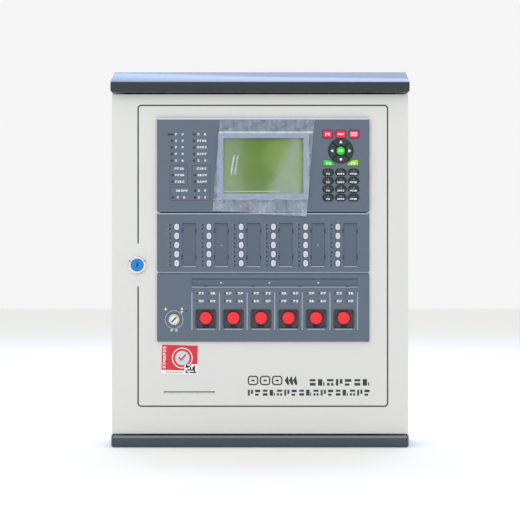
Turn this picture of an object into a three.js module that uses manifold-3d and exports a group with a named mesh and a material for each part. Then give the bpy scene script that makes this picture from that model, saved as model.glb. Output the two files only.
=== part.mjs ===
// Wall-hung fire alarm control panel: a steel cabinet with a full-size hinged door that carries
// the display, the keys, the zone keys, the release buttons and the strip printer.
// Millimetres, +Z up, +X right seen from the front, the front faces -Y. The origin is the centre
// of the back face, which lies on the wall at y = 0.
import * as THREE from "three";
import { mergeVertices } from "three/addons/utils/BufferGeometryUtils.js";
import Module from "manifold-3d";

const wasm = await Module();
wasm.setup();

// ---------------------------------------------------------------- driving dimensions
const overall = { width: 380, height: 480, depth: 136 };
const touch = 0.3; // gap left between pieces that rest on each other
const fit = 0.4; // gap round a piece that slides in a hole
const sheet = 1.5; // folded steel

const top = overall.height / 2;
const bottom = -top;
const front = -overall.depth;

const cap = { height: 28.8, lip: 13.1, roofRun: 36, taper: 2.6, wall: 2, corner: 3, back: -1 };
cap.bottom = top - cap.height;
cap.halfWidth = overall.width / 2;

const base = { height: 15, inset: 0.7, wall: 1.5, setback: 5, bevel: 2.4, corner: 3, back: -1 };
base.top = bottom + base.height;
base.halfWidth = overall.width / 2 - base.inset;
base.front = front + base.setback;

const box = { setback: 35, lip: 12, ledgeSetback: 16, topDrop: 26.5, bottomRise: 12 };
box.halfWidth = cap.halfWidth - cap.wall - 0.5;
box.top = top - box.topDrop;
box.bottom = bottom + box.bottomRise;
box.front = front + box.setback;
box.ledgeFront = front + box.ledgeSetback;
box.floor = box.bottom + sheet;

const door = { setback: 10, sideInset: 1, topGap: 1.9, bottomGap: 1.7, rearGap: 1.5, hingeGap: 3, relief: 12 };
door.front = front + door.setback;
door.back = door.front + sheet;
door.halfWidth = overall.width / 2 - door.sideInset;
door.top = cap.bottom - door.topGap;
door.bottom = base.top + door.bottomGap;
door.rear = box.front - door.rearGap;
door.middle = (door.top + door.bottom) / 2;

const hinge = { edge: 4.5, behind: 7, pinRadius: 1.75, headRadius: 2.9, head: 2, reach: 8 };
hinge.x = door.halfWidth - hinge.edge;
hinge.y = box.front - hinge.behind;

const zone = { count: 6, rows: 5, firstX: -106.1, pitchX: 41.05, z: 17.1, pitchZ: 11.6 };
zone.key = { width: 6, height: 8.4, proud: 1.2 };
zone.web = { width: 5, thickness: 1 };
zone.card = { offset: 15.8, width: 17.4, height: 53.8, depth: 0.8, rise: 0.5, margin: 15.65 };
zone.cardsEnd = zone.firstX + (zone.count - 1) * zone.pitchX + zone.card.offset + zone.card.width / 2;

const fascia = { left: -131.2, top: 179, split: 1.5, corner: 1.8, thickness: 2.2 };
fascia.right = zone.cardsEnd + zone.card.margin;
fascia.upperHeight = 119.7;
fascia.zoneHeight = 74.8;
fascia.manualHeight = 87.4;
fascia.upperProud = 1.5; // how far the upper fascia stands in front of the other two
fascia.overlap = 4; // how far the fascias lie on the door round its opening
fascia.bevel = 1.6;
fascia.back = door.front - touch;
fascia.front = fascia.back - fascia.thickness;
fascia.upperFront = fascia.front - fascia.upperProud;
fascia.upperBottom = fascia.top - fascia.upperHeight;
fascia.zoneTop = fascia.upperBottom - fascia.split;
fascia.zoneBottom = fascia.zoneTop - fascia.zoneHeight;
fascia.manualTop = fascia.zoneBottom - fascia.split;
fascia.bottom = fascia.manualTop - fascia.manualHeight;

const groove = { left: 33.6, top: 14, bottom: 34.9, width: 2, depth: 0.7, corner: 5 };
groove.break = 27.4; // half the length left plain beside the lock
groove.share = 0.5292; // of the margin between the fascias and the door's hinge edge
groove.right = groove.share * (door.halfWidth - fascia.right);

const lock = { collar: 11.8, collarHeight: 3, barrel: 9.6, plug: 8, tail: 3, drop: 1.2 };
lock.x = -door.halfWidth + groove.left - groove.width / 2;
lock.z = door.middle - lock.drop;
lock.keyhole = { width: 1.9, height: 5.5, depth: 6, lean: 8 };
lock.cam = { length: 26, width: 9, thickness: 2, behindLip: 1 };

const board = { thickness: 1.6, inset: 9, behind: 13.3 };
board.front = fascia.back + board.behind;
board.back = board.front + board.thickness;

const screen = { x: 4.2, z: 117.9, width: 102.2, height: 70.2, wall: 2, skirt: 5.2 };
const bezel = { sideRim: 6.7, topRim: 7.65, proud: 2.5, corner: 2.5 };
bezel.width = screen.width + 2 * bezel.sideRim;
bezel.height = screen.height + 2 * bezel.topRim;
bezel.front = fascia.upperFront - bezel.proud;
screen.front = bezel.front + screen.skirt;
screen.thickness = 1.2;
const film = { thickness: 0.4, corners: [[-50.9, 176.4], [69.6, 176.4], [59.4, 53.9], [-60.6, 60.2]] };

const keys = { proud: 1.2, flange: 0.8, flangeThickness: 1, stem: 1.5, travelRoom: 1.2 };
keys.front = fascia.upperFront - keys.proud;
keys.flangeFront = fascia.back + fit;
keys.flangeBack = keys.flangeFront + keys.flangeThickness;
keys.stemEnd = board.front - keys.travelRoom;

const pad = { x: 102.9 }; // the key field's centre line
const redKey = { pitch: 16.7, z: 158.2, width: 11.7, height: 9.1, corner: 1.2, count: 3 };
const nav = { z: 137.1, outer: 15, inner: 7, gap: 0.9, ok: 5.3, flange: 0.4 };
const wing = { inner: 8.2, outer: 22.3, slopeFrom: 15.1, top: 125.5, shoulder: 120.6, bottom: 118.5 };
const digitKey = { pitchX: 16.2, pitchZ: 10.65, topZ: 109.6, width: 14, height: 9, columns: 3, rows: 4 };

const well = { firstX: -69.1, pitch: 35.15, z: -76.9, width: 26.1, height: 24.6, corner: 3.2, depth: 9, wall: 1.2 };
const release = { count: 6, z: -76, radius: 8, proud: 0.5, stem: 3.2, overFloor: 3.4, stemReach: 1 };
const titleSlot = { left: -86.7, right: 124.4, bottom: -35, top: -26.1, depth: 0.8 };

const keySwitch = { x: -109.4, z: -77.8, collar: 7.1, collarHeight: 1.6, barrel: 6.4, plug: 5.2, reach: 20 };
keySwitch.keyhole = { width: 1.6, height: 6.4, depth: 5, lean: 45 };

const slot = { width: 65, height: 2.4, x: -90.2, rise: 52.8 };
slot.z = door.bottom + slot.rise;
const printer = { wall: 2, sideRoom: 3, height: 54, depth: 52, pegRadius: 5.2, pegLength: 5 };
const roll = { width: 57.5, radius: 18, core: 6, fromBack: 20.5 };
const platen = { radius: 5, shaft: 2, width: 60, below: 6.2, behind: 9 };

const label = { width: 46.5, height: 38, x: -102.5, rise: 94.4, tilt: -1.7, thickness: 0.3 };

const battery = { length: 151, depth: 65, height: 94, terminal: 5, apart: 2.6, offBack: 3 };
battery.top = box.floor + touch + battery.height + battery.terminal;
const strap = { height: 20, thickness: 1.5, lift: 46, foot: 12 };

const chassis = { halfWidth: 150, front: -8, overBattery: 12, underTop: 17, post: 3, postLength: 5 };
chassis.bottom = battery.top + chassis.overBattery;
chassis.top = box.top - chassis.underTop;
chassis.deck = chassis.front - chassis.postLength - touch; // back face of what stands on the posts

const cableSlot = { x: -168, width: 20, height: 100, z: 10, wall: 1.6, lip: 2 };
const keyhole = { x: 168, z: 188, head: 5, neck: 2.6, length: 9 };

// ---------------------------------------------------------------- finishes
const finish = (color, roughness, metalness = 0) =>
  new THREE.MeshStandardMaterial({ color, roughness, metalness });
const lightPaint = finish(0xe3e4e1, 0.45);
const slatePaint = finish(0x444a50, 0.5);
const zincSteel = finish(0xb6babd, 0.4, 0.9);
const brightSteel = finish(0xc9ccd0, 0.2, 1);
const greyPlastic = finish(0x687589, 0.5);
const blackPlastic = finish(0x20242b, 0.5);
const clearPlastic = finish(0xdfe8ea, 0.1);
const screenGreen = finish(0x7e9c6a, 0.3);
const boardGreen = finish(0x1f6b45, 0.5);
const redPlastic = finish(0xf5323c, 0.35);
const redKeyPlastic = finish(0xf0164f, 0.4);
const greenPlastic = finish(0x35ce3f, 0.4);
const limePlastic = finish(0x9bdc28, 0.4);
const darkRubber = finish(0x2b3a3c, 0.7);
const whiteRubber = finish(0xe8e9ee, 0.55);
const bluePlastic = finish(0x0a7fd2, 0.35);
const creamPaper = finish(0xf4f2ea, 0.8);
const labelRed = finish(0xdb2b35, 0.5);

// ---------------------------------------------------------------- solids
// A closed three.js geometry as a solid that can be joined and cut.
function solidOf(geometry) {
  const bare = geometry.index ? geometry.toNonIndexed() : geometry.clone();
  bare.deleteAttribute("normal");
  bare.deleteAttribute("uv");
  const merged = mergeVertices(bare, 1e-4);
  const triVerts = new Uint32Array(merged.index.array);
  const vertProperties = merged.attributes.position.array;
  return new wasm.Manifold(new wasm.Mesh({ numProp: 3, vertProperties, triVerts }));
}

// A solid back as a three.js geometry.
function geometryOf(solid) {
  const mesh = solid.getMesh();
  return new THREE.BufferGeometry()
    .setAttribute("position", new THREE.BufferAttribute(mesh.vertProperties, 3))
    .setIndex(new THREE.BufferAttribute(mesh.triVerts, 1));
}

const join = (first, ...rest) => rest.reduce((whole, piece) => whole.add(piece), first);
const cut = (solid, ...tools) => tools.reduce((left, tool) => left.subtract(tool), solid);

// A block between two corners, each pair being [low, high].
function block([x0, x1], [y0, y1], [z0, z1]) {
  const geometry = new THREE.BoxGeometry(x1 - x0, y1 - y0, z1 - z0);
  geometry.translate((x0 + x1) / 2, (y0 + y1) / 2, (z0 + z1) / 2);
  return solidOf(geometry);
}

// A front-view outline (drawn in X and Z) made solid from y = near to y = far, near < far.
function slab(outline, near, far, curveSegments = 2) {
  const options = { depth: far - near, bevelEnabled: false, curveSegments };
  const geometry = new THREE.ExtrudeGeometry(outline, options);
  geometry.rotateX(Math.PI / 2);
  geometry.translate(0, far, 0);
  return solidOf(geometry);
}

// A side-view outline (drawn in Y and Z) made solid across the width, from -half to +half.
function across(points, half) {
  const outline = new THREE.Shape(points.map(([y, z]) => new THREE.Vector2(y, z)));
  const geometry = new THREE.ExtrudeGeometry(outline, { depth: 2 * half, bevelEnabled: false });
  geometry.translate(0, 0, -half);
  geometry.applyMatrix4(new THREE.Matrix4().set(0, 0, 1, 0, 1, 0, 0, 0, 0, 1, 0, 0, 0, 0, 0, 1));
  return solidOf(geometry);
}

// A turned piece on an axis along Y through (x, z): the profile is [radius, y], from low y to high.
function turned(profile, x, z, segments = 20) {
  const points = profile.map(([radius, y]) => new THREE.Vector2(radius, y));
  const geometry = new THREE.LatheGeometry(points, segments);
  geometry.translate(x, 0, z);
  return solidOf(geometry);
}

// A round rod along Y, from y = near to y = far.
const rod = (x, z, radius, near, far, segments = 20) =>
  turned([[0, near], [radius, near], [radius, far], [0, far]], x, z, segments);

// A round rod along Z.
function post(x, y, radius, z0, z1, segments = 20) {
  const geometry = new THREE.CylinderGeometry(radius, radius, z1 - z0, segments);
  geometry.rotateX(Math.PI / 2);
  geometry.translate(x, y, (z0 + z1) / 2);
  return solidOf(geometry);
}

// A round rod along X.
function bar(y, z, radius, x0, x1, segments = 24) {
  const geometry = new THREE.CylinderGeometry(radius, radius, x1 - x0, segments);
  geometry.rotateZ(Math.PI / 2);
  geometry.translate((x0 + x1) / 2, y, z);
  return solidOf(geometry);
}

// ---------------------------------------------------------------- outlines in X and Z
function roundedRect(x0, x1, z0, z1, radius) {
  const outline = new THREE.Shape();
  outline.moveTo(x0 + radius, z0);
  outline.lineTo(x1 - radius, z0);
  outline.absarc(x1 - radius, z0 + radius, radius, -Math.PI / 2, 0);
  outline.lineTo(x1, z1 - radius);
  outline.absarc(x1 - radius, z1 - radius, radius, 0, Math.PI / 2);
  outline.lineTo(x0 + radius, z1);
  outline.absarc(x0 + radius, z1 - radius, radius, Math.PI / 2, Math.PI);
  outline.lineTo(x0, z0 + radius);
  outline.absarc(x0 + radius, z0 + radius, radius, Math.PI, 1.5 * Math.PI);
  return outline;
}

const centred = (x, z, width, height, radius) =>
  roundedRect(x - width / 2, x + width / 2, z - height / 2, z + height / 2, radius);

function polygon(points) {
  return new THREE.Shape(points.map(([x, z]) => new THREE.Vector2(x, z)));
}

// One quarter of a ring round (x, z), centred on a direction, with its sides kept clear of the
// diagonals by half a gap.
function sector(x, z, inner, outer, gap, direction) {
  const outline = new THREE.Shape();
  const away = (radius) => Math.PI / 4 - Math.asin(gap / 2 / radius);
  outline.absarc(x, z, outer, direction - away(outer), direction + away(outer));
  outline.absarc(x, z, inner, direction + away(inner), direction - away(inner), true);
  return outline;
}

// ---------------------------------------------------------------- the assembly
const panel = new THREE.Group();
const cabinetGroup = new THREE.Group();
const doorGroup = new THREE.Group();
panel.add(cabinetGroup, doorGroup);

function add(group, name, solid, material) {
  const mesh = new THREE.Mesh(geometryOf(solid), material);
  mesh.name = name;
  group.add(mesh);
  return mesh;
}

// ---------------------------------------------------------------- cabinet
function keyholeCut(x, z) {
  const head = rod(x, z, keyhole.head, -sheet - 1, 1);
  const neck = block([x - keyhole.neck, x + keyhole.neck], [-sheet - 1, 1], [z, z + keyhole.length]);
  return join(head, neck);
}

function cableSlotSpan(inset) {
  const halfWidth = cableSlot.width / 2 - inset;
  const halfHeight = cableSlot.height / 2 - inset;
  return [
    [cableSlot.x - halfWidth, cableSlot.x + halfWidth],
    [cableSlot.z - halfHeight, cableSlot.z + halfHeight],
  ];
}

function backBox() {
  const half = box.halfWidth;
  const inner = half - sheet;
  const lipInner = half - box.lip;
  const shell = cut(
    block([-half, half], [box.front, 0], [box.bottom, box.top]),
    block([-inner, inner], [box.front + sheet, -sheet], [box.floor, box.top - sheet]),
    block([-lipInner, lipInner], [box.front - 1, -sheet], [box.floor, box.top - sheet]),
  );
  const ledges = join(
    block([-half, half], [box.ledgeFront, box.front + 1], [box.top - sheet, box.top]),
    block([-half, half], [box.ledgeFront, box.front + 1], [box.bottom, box.floor]),
  );
  const pinHole = hinge.pinRadius + touch;
  const [slotX, slotZ] = cableSlotSpan(0);
  return cut(
    join(shell, ledges),
    post(hinge.x, hinge.y, pinHole, box.bottom - 1, box.floor + 1),
    post(hinge.x, hinge.y, pinHole, box.top - sheet - 1, box.top + 1),
    block(slotX, [-sheet - 1, 1], slotZ),
    ...[-1, 1].flatMap((side) => [-1, 1].map((end) => keyholeCut(side * keyhole.x, end * keyhole.z))),
  );
}

function capOutline(inset, lowered) {
  const low = cap.bottom - lowered;
  const outline = new THREE.Shape();
  const half = cap.halfWidth - inset;
  const radius = lowered ? 0.01 : cap.corner;
  outline.moveTo(-half + radius, low);
  outline.lineTo(half - radius, low);
  outline.absarc(half - radius, low + radius, radius, -Math.PI / 2, 0);
  outline.lineTo(half, cap.bottom + cap.lip);
  outline.lineTo(half - cap.taper, top - inset);
  outline.lineTo(-half + cap.taper, top - inset);
  outline.lineTo(-half, cap.bottom + cap.lip);
  outline.lineTo(-half, low + radius);
  outline.absarc(-half + radius, low + radius, radius, Math.PI, 1.5 * Math.PI);
  return outline;
}

function capProfile(inset, lowered) {
  const lipTop = cap.bottom + cap.lip;
  return [
    [front + inset, cap.bottom - lowered],
    [cap.back - inset, cap.bottom - lowered],
    [cap.back - inset, top - inset],
    [front + cap.roofRun, top - inset],
    [front + inset, lipTop - inset / 2],
  ];
}

function topCap() {
  const outer = slab(capOutline(0, 0), front, cap.back).intersect(across(capProfile(0, 0), cap.halfWidth));
  const hollow = slab(capOutline(cap.wall, 1), front, cap.back).intersect(
    across(capProfile(cap.wall, 1), cap.halfWidth),
  );
  const ribs = [-0.5, 0.5].map((share) => {
    const x = share * cap.halfWidth;
    return block([x - cap.wall / 2, x + cap.wall / 2], [box.front, cap.back - 1], [box.top + touch, top - 1]);
  });
  const open = block(
    [-box.halfWidth - touch, box.halfWidth + touch],
    [cap.back - cap.wall - 1, cap.back + 1],
    [cap.bottom - 1, box.top + touch],
  );
  return join(cut(outer, hollow, open), ...ribs);
}

function baseTrim() {
  const outline = roundedRect(-base.halfWidth, base.halfWidth, bottom, base.top + base.corner, base.corner);
  const profile = [
    [base.front, bottom],
    [base.back, bottom],
    [base.back, base.top],
    [base.front + base.bevel, base.top],
    [base.front, base.top - base.bevel],
  ];
  const outer = slab(outline, base.front, base.back).intersect(across(profile, base.halfWidth));
  const innerHalf = base.halfWidth - base.wall;
  const hollow = block(
    [-innerHalf, innerHalf],
    [base.front + base.bevel + base.wall, base.back + 1],
    [bottom + base.wall, base.top + 1],
  );
  const ribs = [-0.5, 0.5].map((share) => {
    const x = share * base.halfWidth;
    return block([x - base.wall, x + base.wall], [box.front, base.back], [bottom + 1, box.bottom - touch]);
  });
  return join(cut(outer, hollow), ...ribs);
}

// A headed pin that joins a cabinet ledge and a door flange; toward is +1 for the upper pin.
function pivotPin(ledgeFace, toward) {
  const z0 = ledgeFace + toward * touch;
  const z1 = z0 + toward * hinge.head;
  const tip = ledgeFace - toward * hinge.reach;
  const head = post(hinge.x, hinge.y, hinge.headRadius, Math.min(z0, z1), Math.max(z0, z1));
  const shank = post(hinge.x, hinge.y, hinge.pinRadius, Math.min(z1, tip), Math.max(z1, tip));
  return join(head, shank);
}

function chassisPlate() {
  const half = chassis.halfWidth;
  const plate = block([-half, half], [chassis.front, chassis.front + sheet], [chassis.bottom, chassis.top]);
  const foot = (z0) => block([-half, half], [chassis.front, -sheet - touch], [z0, z0 + sheet]);
  const posts = [-half + 16, -half + 172].flatMap((x) =>
    [mainBoard.bottom + 8, mainBoard.top - 8].map((z) =>
      rod(x, z, chassis.post, chassis.deck + touch, chassis.front + 0.5, 12),
    ),
  );
  return join(plate, foot(chassis.bottom), foot(chassis.top - sheet), ...posts);
}

const mainBoard = { left: -chassis.halfWidth + 6, width: 190, height: 150, thickness: 1.6 };
mainBoard.top = chassis.top - 8;
mainBoard.bottom = mainBoard.top - mainBoard.height;
mainBoard.right = mainBoard.left + mainBoard.width;

function mainBoardSolid() {
  const face = chassis.deck - mainBoard.thickness;
  const plate = block([mainBoard.left, mainBoard.right], [face, chassis.deck], [mainBoard.bottom, mainBoard.top]);
  const onBoard = (x, z, width, height, rise) =>
    block(
      [mainBoard.left + x, mainBoard.left + x + width],
      [face - rise, face + 0.5],
      [mainBoard.bottom + z, mainBoard.bottom + z + height],
    );
  const relays = Array.from({ length: 6 }, (_, i) => onBoard(12 + 28 * i, 22, 19, 15, 15));
  const connectors = Array.from({ length: 3 }, (_, i) => onBoard(20 + 50 * i, 132, 36, 9, 9));
  return join(plate, onBoard(62, 78, 24, 24, 2.5), onBoard(112, 74, 30, 12, 3), ...relays, ...connectors);
}

const terminals = { ways: 22, pitch: 12, height: 14, depth: 16, below: 10, pocket: 3.6 };
terminals.top = mainBoard.bottom - terminals.below;

function fieldTerminalStrip() {
  const half = (terminals.ways * terminals.pitch) / 2 + 2;
  const far = chassis.front - touch;
  const near = far - terminals.depth;
  const z0 = terminals.top - terminals.height;
  const strip = block([-half, half], [near, far], [z0, terminals.top]);
  const pockets = Array.from({ length: terminals.ways }, (_, i) => {
    const x = (i - (terminals.ways - 1) / 2) * terminals.pitch;
    const span = [x - terminals.pocket / 2, x + terminals.pocket / 2];
    return block(span, [near - 1, near + terminals.depth / 2], [z0 - 1, z0 + terminals.pocket]);
  });
  return cut(strip, ...pockets);
}

const supply = { width: 96, height: 150, depth: 40, vents: 7, ventHeight: 3.6 };
supply.right = chassis.halfWidth - 4;

function powerSupply() {
  const far = chassis.front - touch;
  const near = far - supply.depth;
  const left = supply.right - supply.width;
  const z1 = mainBoard.top;
  const shell = block([left, supply.right], [near, far], [z1 - supply.height, z1]);
  const vents = Array.from({ length: supply.vents }, (_, i) => {
    const z = z1 - supply.height + 30 + i * 14;
    return block([left + 14, supply.right - 14], [near - 1, near + 3], [z, z + supply.ventHeight]);
  });
  return cut(shell, ...vents);
}

function batteryBlock(side) {
  const x0 = side < 0 ? -battery.apart / 2 - battery.length : battery.apart / 2;
  const far = -battery.offBack;
  const near = far - battery.depth;
  const z0 = box.floor + touch;
  const lid = z0 + battery.height;
  const body = block([x0, x0 + battery.length], [near, far], [z0, lid]);
  const tab = (x) => block([x - 3, x + 3], [near + 12, near + 13], [lid - 1, lid + battery.terminal]);
  return join(body, tab(x0 + 16), tab(x0 + battery.length - 16));
}

function batteryStrap() {
  const reach = battery.length + battery.apart / 2 + touch;
  const outer = reach + strap.thickness;
  const near = -battery.offBack - battery.depth - touch;
  const z0 = box.floor + strap.lift;
  const z = [z0, z0 + strap.height];
  const bridge = block([-outer, outer], [near - strap.thickness, near], z);
  const legs = [-1, 1].map((side) => {
    const inner = side * reach;
    const wall = side * outer;
    const toe = side * (outer + strap.foot);
    const leg = block([Math.min(inner, wall), Math.max(inner, wall)], [near - 0.5, -sheet - touch], z);
    const foot = block([Math.min(wall, toe), Math.max(wall, toe)], [-2 * sheet - touch, -sheet - touch], z);
    return join(leg, foot.add(block([Math.min(inner, toe), Math.max(inner, toe)], [-2 * sheet - touch, -sheet - touch], z)));
  });
  return join(bridge, ...legs);
}

const rocker = { width: 14, height: 21, depth: 9, rise: 2.6, tilt: 10, cell: 30, axisIn: 4 };
rocker.z = terminals.top - terminals.height - 34;
rocker.left = 78;
rocker.housingDepth = 30;
rocker.face = chassis.front - touch - rocker.housingDepth;
rocker.axisY = rocker.face + rocker.axisIn;

const rockerX = (index) => rocker.left + index * rocker.cell;

function switchHousing() {
  const halfHeight = rocker.height / 2 + 7;
  const shell = block(
    [rockerX(0) - rocker.cell / 2, rockerX(1) + rocker.cell / 2],
    [rocker.face, chassis.front - touch],
    [rocker.z - halfHeight, rocker.z + halfHeight],
  );
  const wells = [0, 1].map((index) => {
    const halfX = rocker.width / 2 + fit;
    const halfZ = rocker.height / 2 + 1;
    const x = rockerX(index);
    return block([x - halfX, x + halfX], [rocker.face - 1, rocker.axisY + rocker.depth + 2], [rocker.z - halfZ, rocker.z + halfZ]);
  });
  return cut(shell, ...wells);
}

// A rocker with two sloping faces, tipped to its rest side about its own axis.
function addRocker(name, index, material) {
  const half = rocker.height / 2;
  const lift = rocker.axisIn + rocker.rise;
  const outline = [[-lift, -half], [rocker.depth - 3, -half + 3], [rocker.depth - 3, half - 3], [-lift, half], [-rocker.axisIn, 0]];
  const mesh = add(cabinetGroup, name, across(outline, rocker.width / 2), material);
  mesh.position.set(rockerX(index), rocker.axisY, rocker.z);
  mesh.rotation.x = THREE.MathUtils.degToRad(rocker.tilt);
}

const speaker = { x: -112, radius: 30, depth: 22, cone: 24, square: 33 };
speaker.z = chassis.bottom + speaker.square + 4;

function speakerSolid() {
  const far = chassis.front - touch;
  const near = far - speaker.depth;
  const magnet = rod(speaker.x, speaker.z, speaker.radius * 0.6, near + 3, far);
  const frame = slab(centred(speaker.x, speaker.z, 2 * speaker.square, 2 * speaker.square, 6), near, near + 4);
  const cone = turned([[0, near + 12], [6, near + 12], [speaker.cone, near - 1], [0, near - 1]].reverse(), speaker.x, speaker.z);
  return cut(join(frame, magnet, rod(speaker.x, speaker.z, speaker.radius, near + 2, far - 6)), cone);
}

// A rubber edging that lines the cable slot in the back plate.
function cableGrommet() {
  const [outerX, outerZ] = cableSlotSpan(touch);
  const [innerX, innerZ] = cableSlotSpan(cableSlot.wall + touch);
  const [rimX, rimZ] = cableSlotSpan(-cableSlot.lip);
  const sleeve = block(outerX, [-sheet - touch - 1, 0], outerZ);
  const rim = block(rimX, [-sheet - touch - 2, -sheet - touch], rimZ);
  return cut(join(sleeve, rim), block(innerX, [-10, 1], innerZ));
}

add(cabinetGroup, "back_box", backBox(), lightPaint);
add(cabinetGroup, "top_cap", topCap(), slatePaint);
add(cabinetGroup, "base_trim", baseTrim(), slatePaint);
add(cabinetGroup, "upper_pivot_pin", pivotPin(box.top, 1), zincSteel);
add(cabinetGroup, "lower_pivot_pin", pivotPin(box.bottom, -1), zincSteel);
add(cabinetGroup, "chassis_plate", chassisPlate(), zincSteel);
add(cabinetGroup, "main_board", mainBoardSolid(), boardGreen);
add(cabinetGroup, "field_terminal_strip", fieldTerminalStrip(), greenPlastic);
add(cabinetGroup, "power_supply", powerSupply(), zincSteel);
add(cabinetGroup, "battery_left", batteryBlock(-1), blackPlastic);
add(cabinetGroup, "battery_right", batteryBlock(1), blackPlastic);
add(cabinetGroup, "battery_strap", batteryStrap(), zincSteel);
add(cabinetGroup, "switch_housing", switchHousing(), blackPlastic);
addRocker("mains_rocker", 0, redPlastic);
addRocker("battery_rocker", 1, darkRubber);
add(cabinetGroup, "speaker", speakerSolid(), blackPlastic);
add(cabinetGroup, "cable_grommet", cableGrommet(), darkRubber);

// ---------------------------------------------------------------- door
function grooveCut() {
  const x0 = -door.halfWidth + groove.left - groove.width / 2;
  const x1 = door.halfWidth - groove.right + groove.width / 2;
  const z0 = door.bottom + groove.bottom - groove.width / 2;
  const z1 = door.top - groove.top + groove.width / 2;
  const w = groove.width;
  const far = door.front + groove.depth;
  const outer = slab(roundedRect(x0, x1, z0, z1, groove.corner), door.front - 1, far);
  const island = slab(roundedRect(x0 + w, x1 - w, z0 + w, z1 - w, groove.corner - w), door.front - 2, far + 1);
  const plain = [lock.z - groove.break, lock.z + groove.break];
  return cut(outer, island, block([x0 - 1, x0 + w + 1], [door.front - 2, far + 1], plain));
}

function doorPanel() {
  const half = door.halfWidth;
  const plate = block([-half, half], [door.front, door.back], [door.bottom, door.top]);
  const wallZ = [door.bottom, door.top];
  const frontIn = door.front + 0.5;
  const hingeRear = box.front - door.hingeGap;
  const flanges = [
    block([-half, -half + sheet], [frontIn, door.rear], wallZ),
    block([half - sheet, half], [frontIn, hingeRear], wallZ),
    ...[[door.top - sheet, door.top], [door.bottom, door.bottom + sheet]].flatMap((edge) => [
      block([-half, half], [frontIn, hingeRear], edge),
      block([-half, hinge.x - door.relief], [frontIn, door.rear], edge),
    ]),
  ];
  const opening = block(
    [fascia.left + fascia.overlap, fascia.right - fascia.overlap],
    [door.front - 1, door.back + 1],
    [fascia.bottom + fascia.overlap, fascia.top - fascia.overlap],
  );
  const paperSlot = block(
    [slot.x - slot.width / 2, slot.x + slot.width / 2],
    [door.front - 1, door.back + 1],
    [slot.z - slot.height / 2, slot.z + slot.height / 2],
  );
  const pinHole = hinge.pinRadius + touch;
  return cut(
    join(plate, ...flanges),
    opening,
    paperSlot,
    rod(lock.x, lock.z, lock.barrel + touch, door.front - 1, door.back + 1, 32),
    post(hinge.x, hinge.y, pinHole, door.bottom - 1, door.bottom + sheet + 1),
    post(hinge.x, hinge.y, pinHole, door.top - sheet - 1, door.top + 1),
    grooveCut(),
  );
}

// A fascia plate between two heights, its top edge bevelled.
function fasciaPlate(z0, z1, face) {
  const plate = slab(roundedRect(fascia.left, fascia.right, z0, z1, fascia.corner), face, fascia.back);
  const width = fascia.right - fascia.left;
  const bevel = fascia.bevel;
  const chamfer = across([[face - 1, z1 + 1], [face - 1, z1 - bevel - 1], [face + bevel + 1, z1 + 1]], width);
  return cut(plate, chamfer);
}

const digitCells = Array.from({ length: digitKey.columns * digitKey.rows }, (_, i) => ({
  x: pad.x + ((i % digitKey.columns) - (digitKey.columns - 1) / 2) * digitKey.pitchX,
  z: digitKey.topZ - Math.floor(i / digitKey.columns) * digitKey.pitchZ,
}));
const digitOutline = (cell, grow) =>
  centred(cell.x, cell.z, digitKey.width + 2 * grow, digitKey.height + 2 * grow, digitKey.height / 2 + grow - 0.01);

const redKeyX = (index) => pad.x + (index - (redKey.count - 1) / 2) * redKey.pitch;
const redKeyOutline = (index, growX, growZ = growX) =>
  centred(redKeyX(index), redKey.z, redKey.width + 2 * growX, redKey.height + 2 * growZ, redKey.corner + growZ);

// The slanted key beside the ring: side is -1 on the left and +1 on the right.
function wingOutline(side, grow) {
  const x = (offset) => pad.x + side * offset;
  const points = [
    [x(wing.outer + grow), wing.bottom - grow],
    [x(wing.outer + grow), wing.top + grow],
    [x(wing.slopeFrom - grow * 0.4), wing.top + grow],
    [x(wing.inner - grow), wing.shoulder + grow],
    [x(wing.inner - grow), wing.bottom - grow],
  ];
  return polygon(side < 0 ? points.reverse() : points);
}

const skirtSize = (room) => ({
  width: screen.width + 2 * (screen.wall + room),
  height: screen.height + 2 * (screen.wall + room),
});

function upperFascia() {
  const plate = fasciaPlate(fascia.upperBottom, fascia.top, fascia.upperFront);
  const near = fascia.upperFront - 1;
  const far = fascia.back + 1;
  const hole = skirtSize(fit);
  const tools = [
    slab(centred(screen.x, screen.z, hole.width, hole.height, 1), near, far),
    rod(pad.x, nav.z, nav.outer + fit, near, far, 32),
    ...[-1, 1].map((side) => slab(wingOutline(side, fit), near, far)),
    ...digitCells.map((cell) => slab(digitOutline(cell, fit), near, far)),
    ...Array.from({ length: redKey.count }, (_, i) => slab(redKeyOutline(i, fit), near, far, 1)),
  ];
  return cut(plate, ...tools);
}

const zoneX = (column) => zone.firstX + column * zone.pitchX;
const zoneZ = (row) => zone.z + ((zone.rows - 1) / 2 - row) * zone.pitchZ;
const zoneKeyOutline = (column, row, grow) =>
  centred(
    zoneX(column),
    zoneZ(row),
    zone.key.width + 2 * grow,
    zone.key.height + 2 * grow,
    zone.key.width / 2 + grow - 0.01,
  );

function zoneFascia() {
  const near = fascia.front - 1;
  const far = fascia.back + 1;
  const holes = Array.from({ length: zone.count * zone.rows }, (_, i) =>
    slab(zoneKeyOutline(i % zone.count, Math.floor(i / zone.count), fit), near, far, 1),
  );
  const recesses = Array.from({ length: zone.count }, (_, i) => {
    const { offset, width, height, depth, rise } = zone.card;
    return slab(centred(zoneX(i) + offset, zone.z + rise, width, height, 1), near, fascia.front + depth, 1);
  });
  return cut(fasciaPlate(fascia.zoneBottom, fascia.zoneTop, fascia.front), ...holes, ...recesses);
}

const wellX = (index) => well.firstX + index * well.pitch;
const wellFloor = fascia.front + well.depth;

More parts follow.
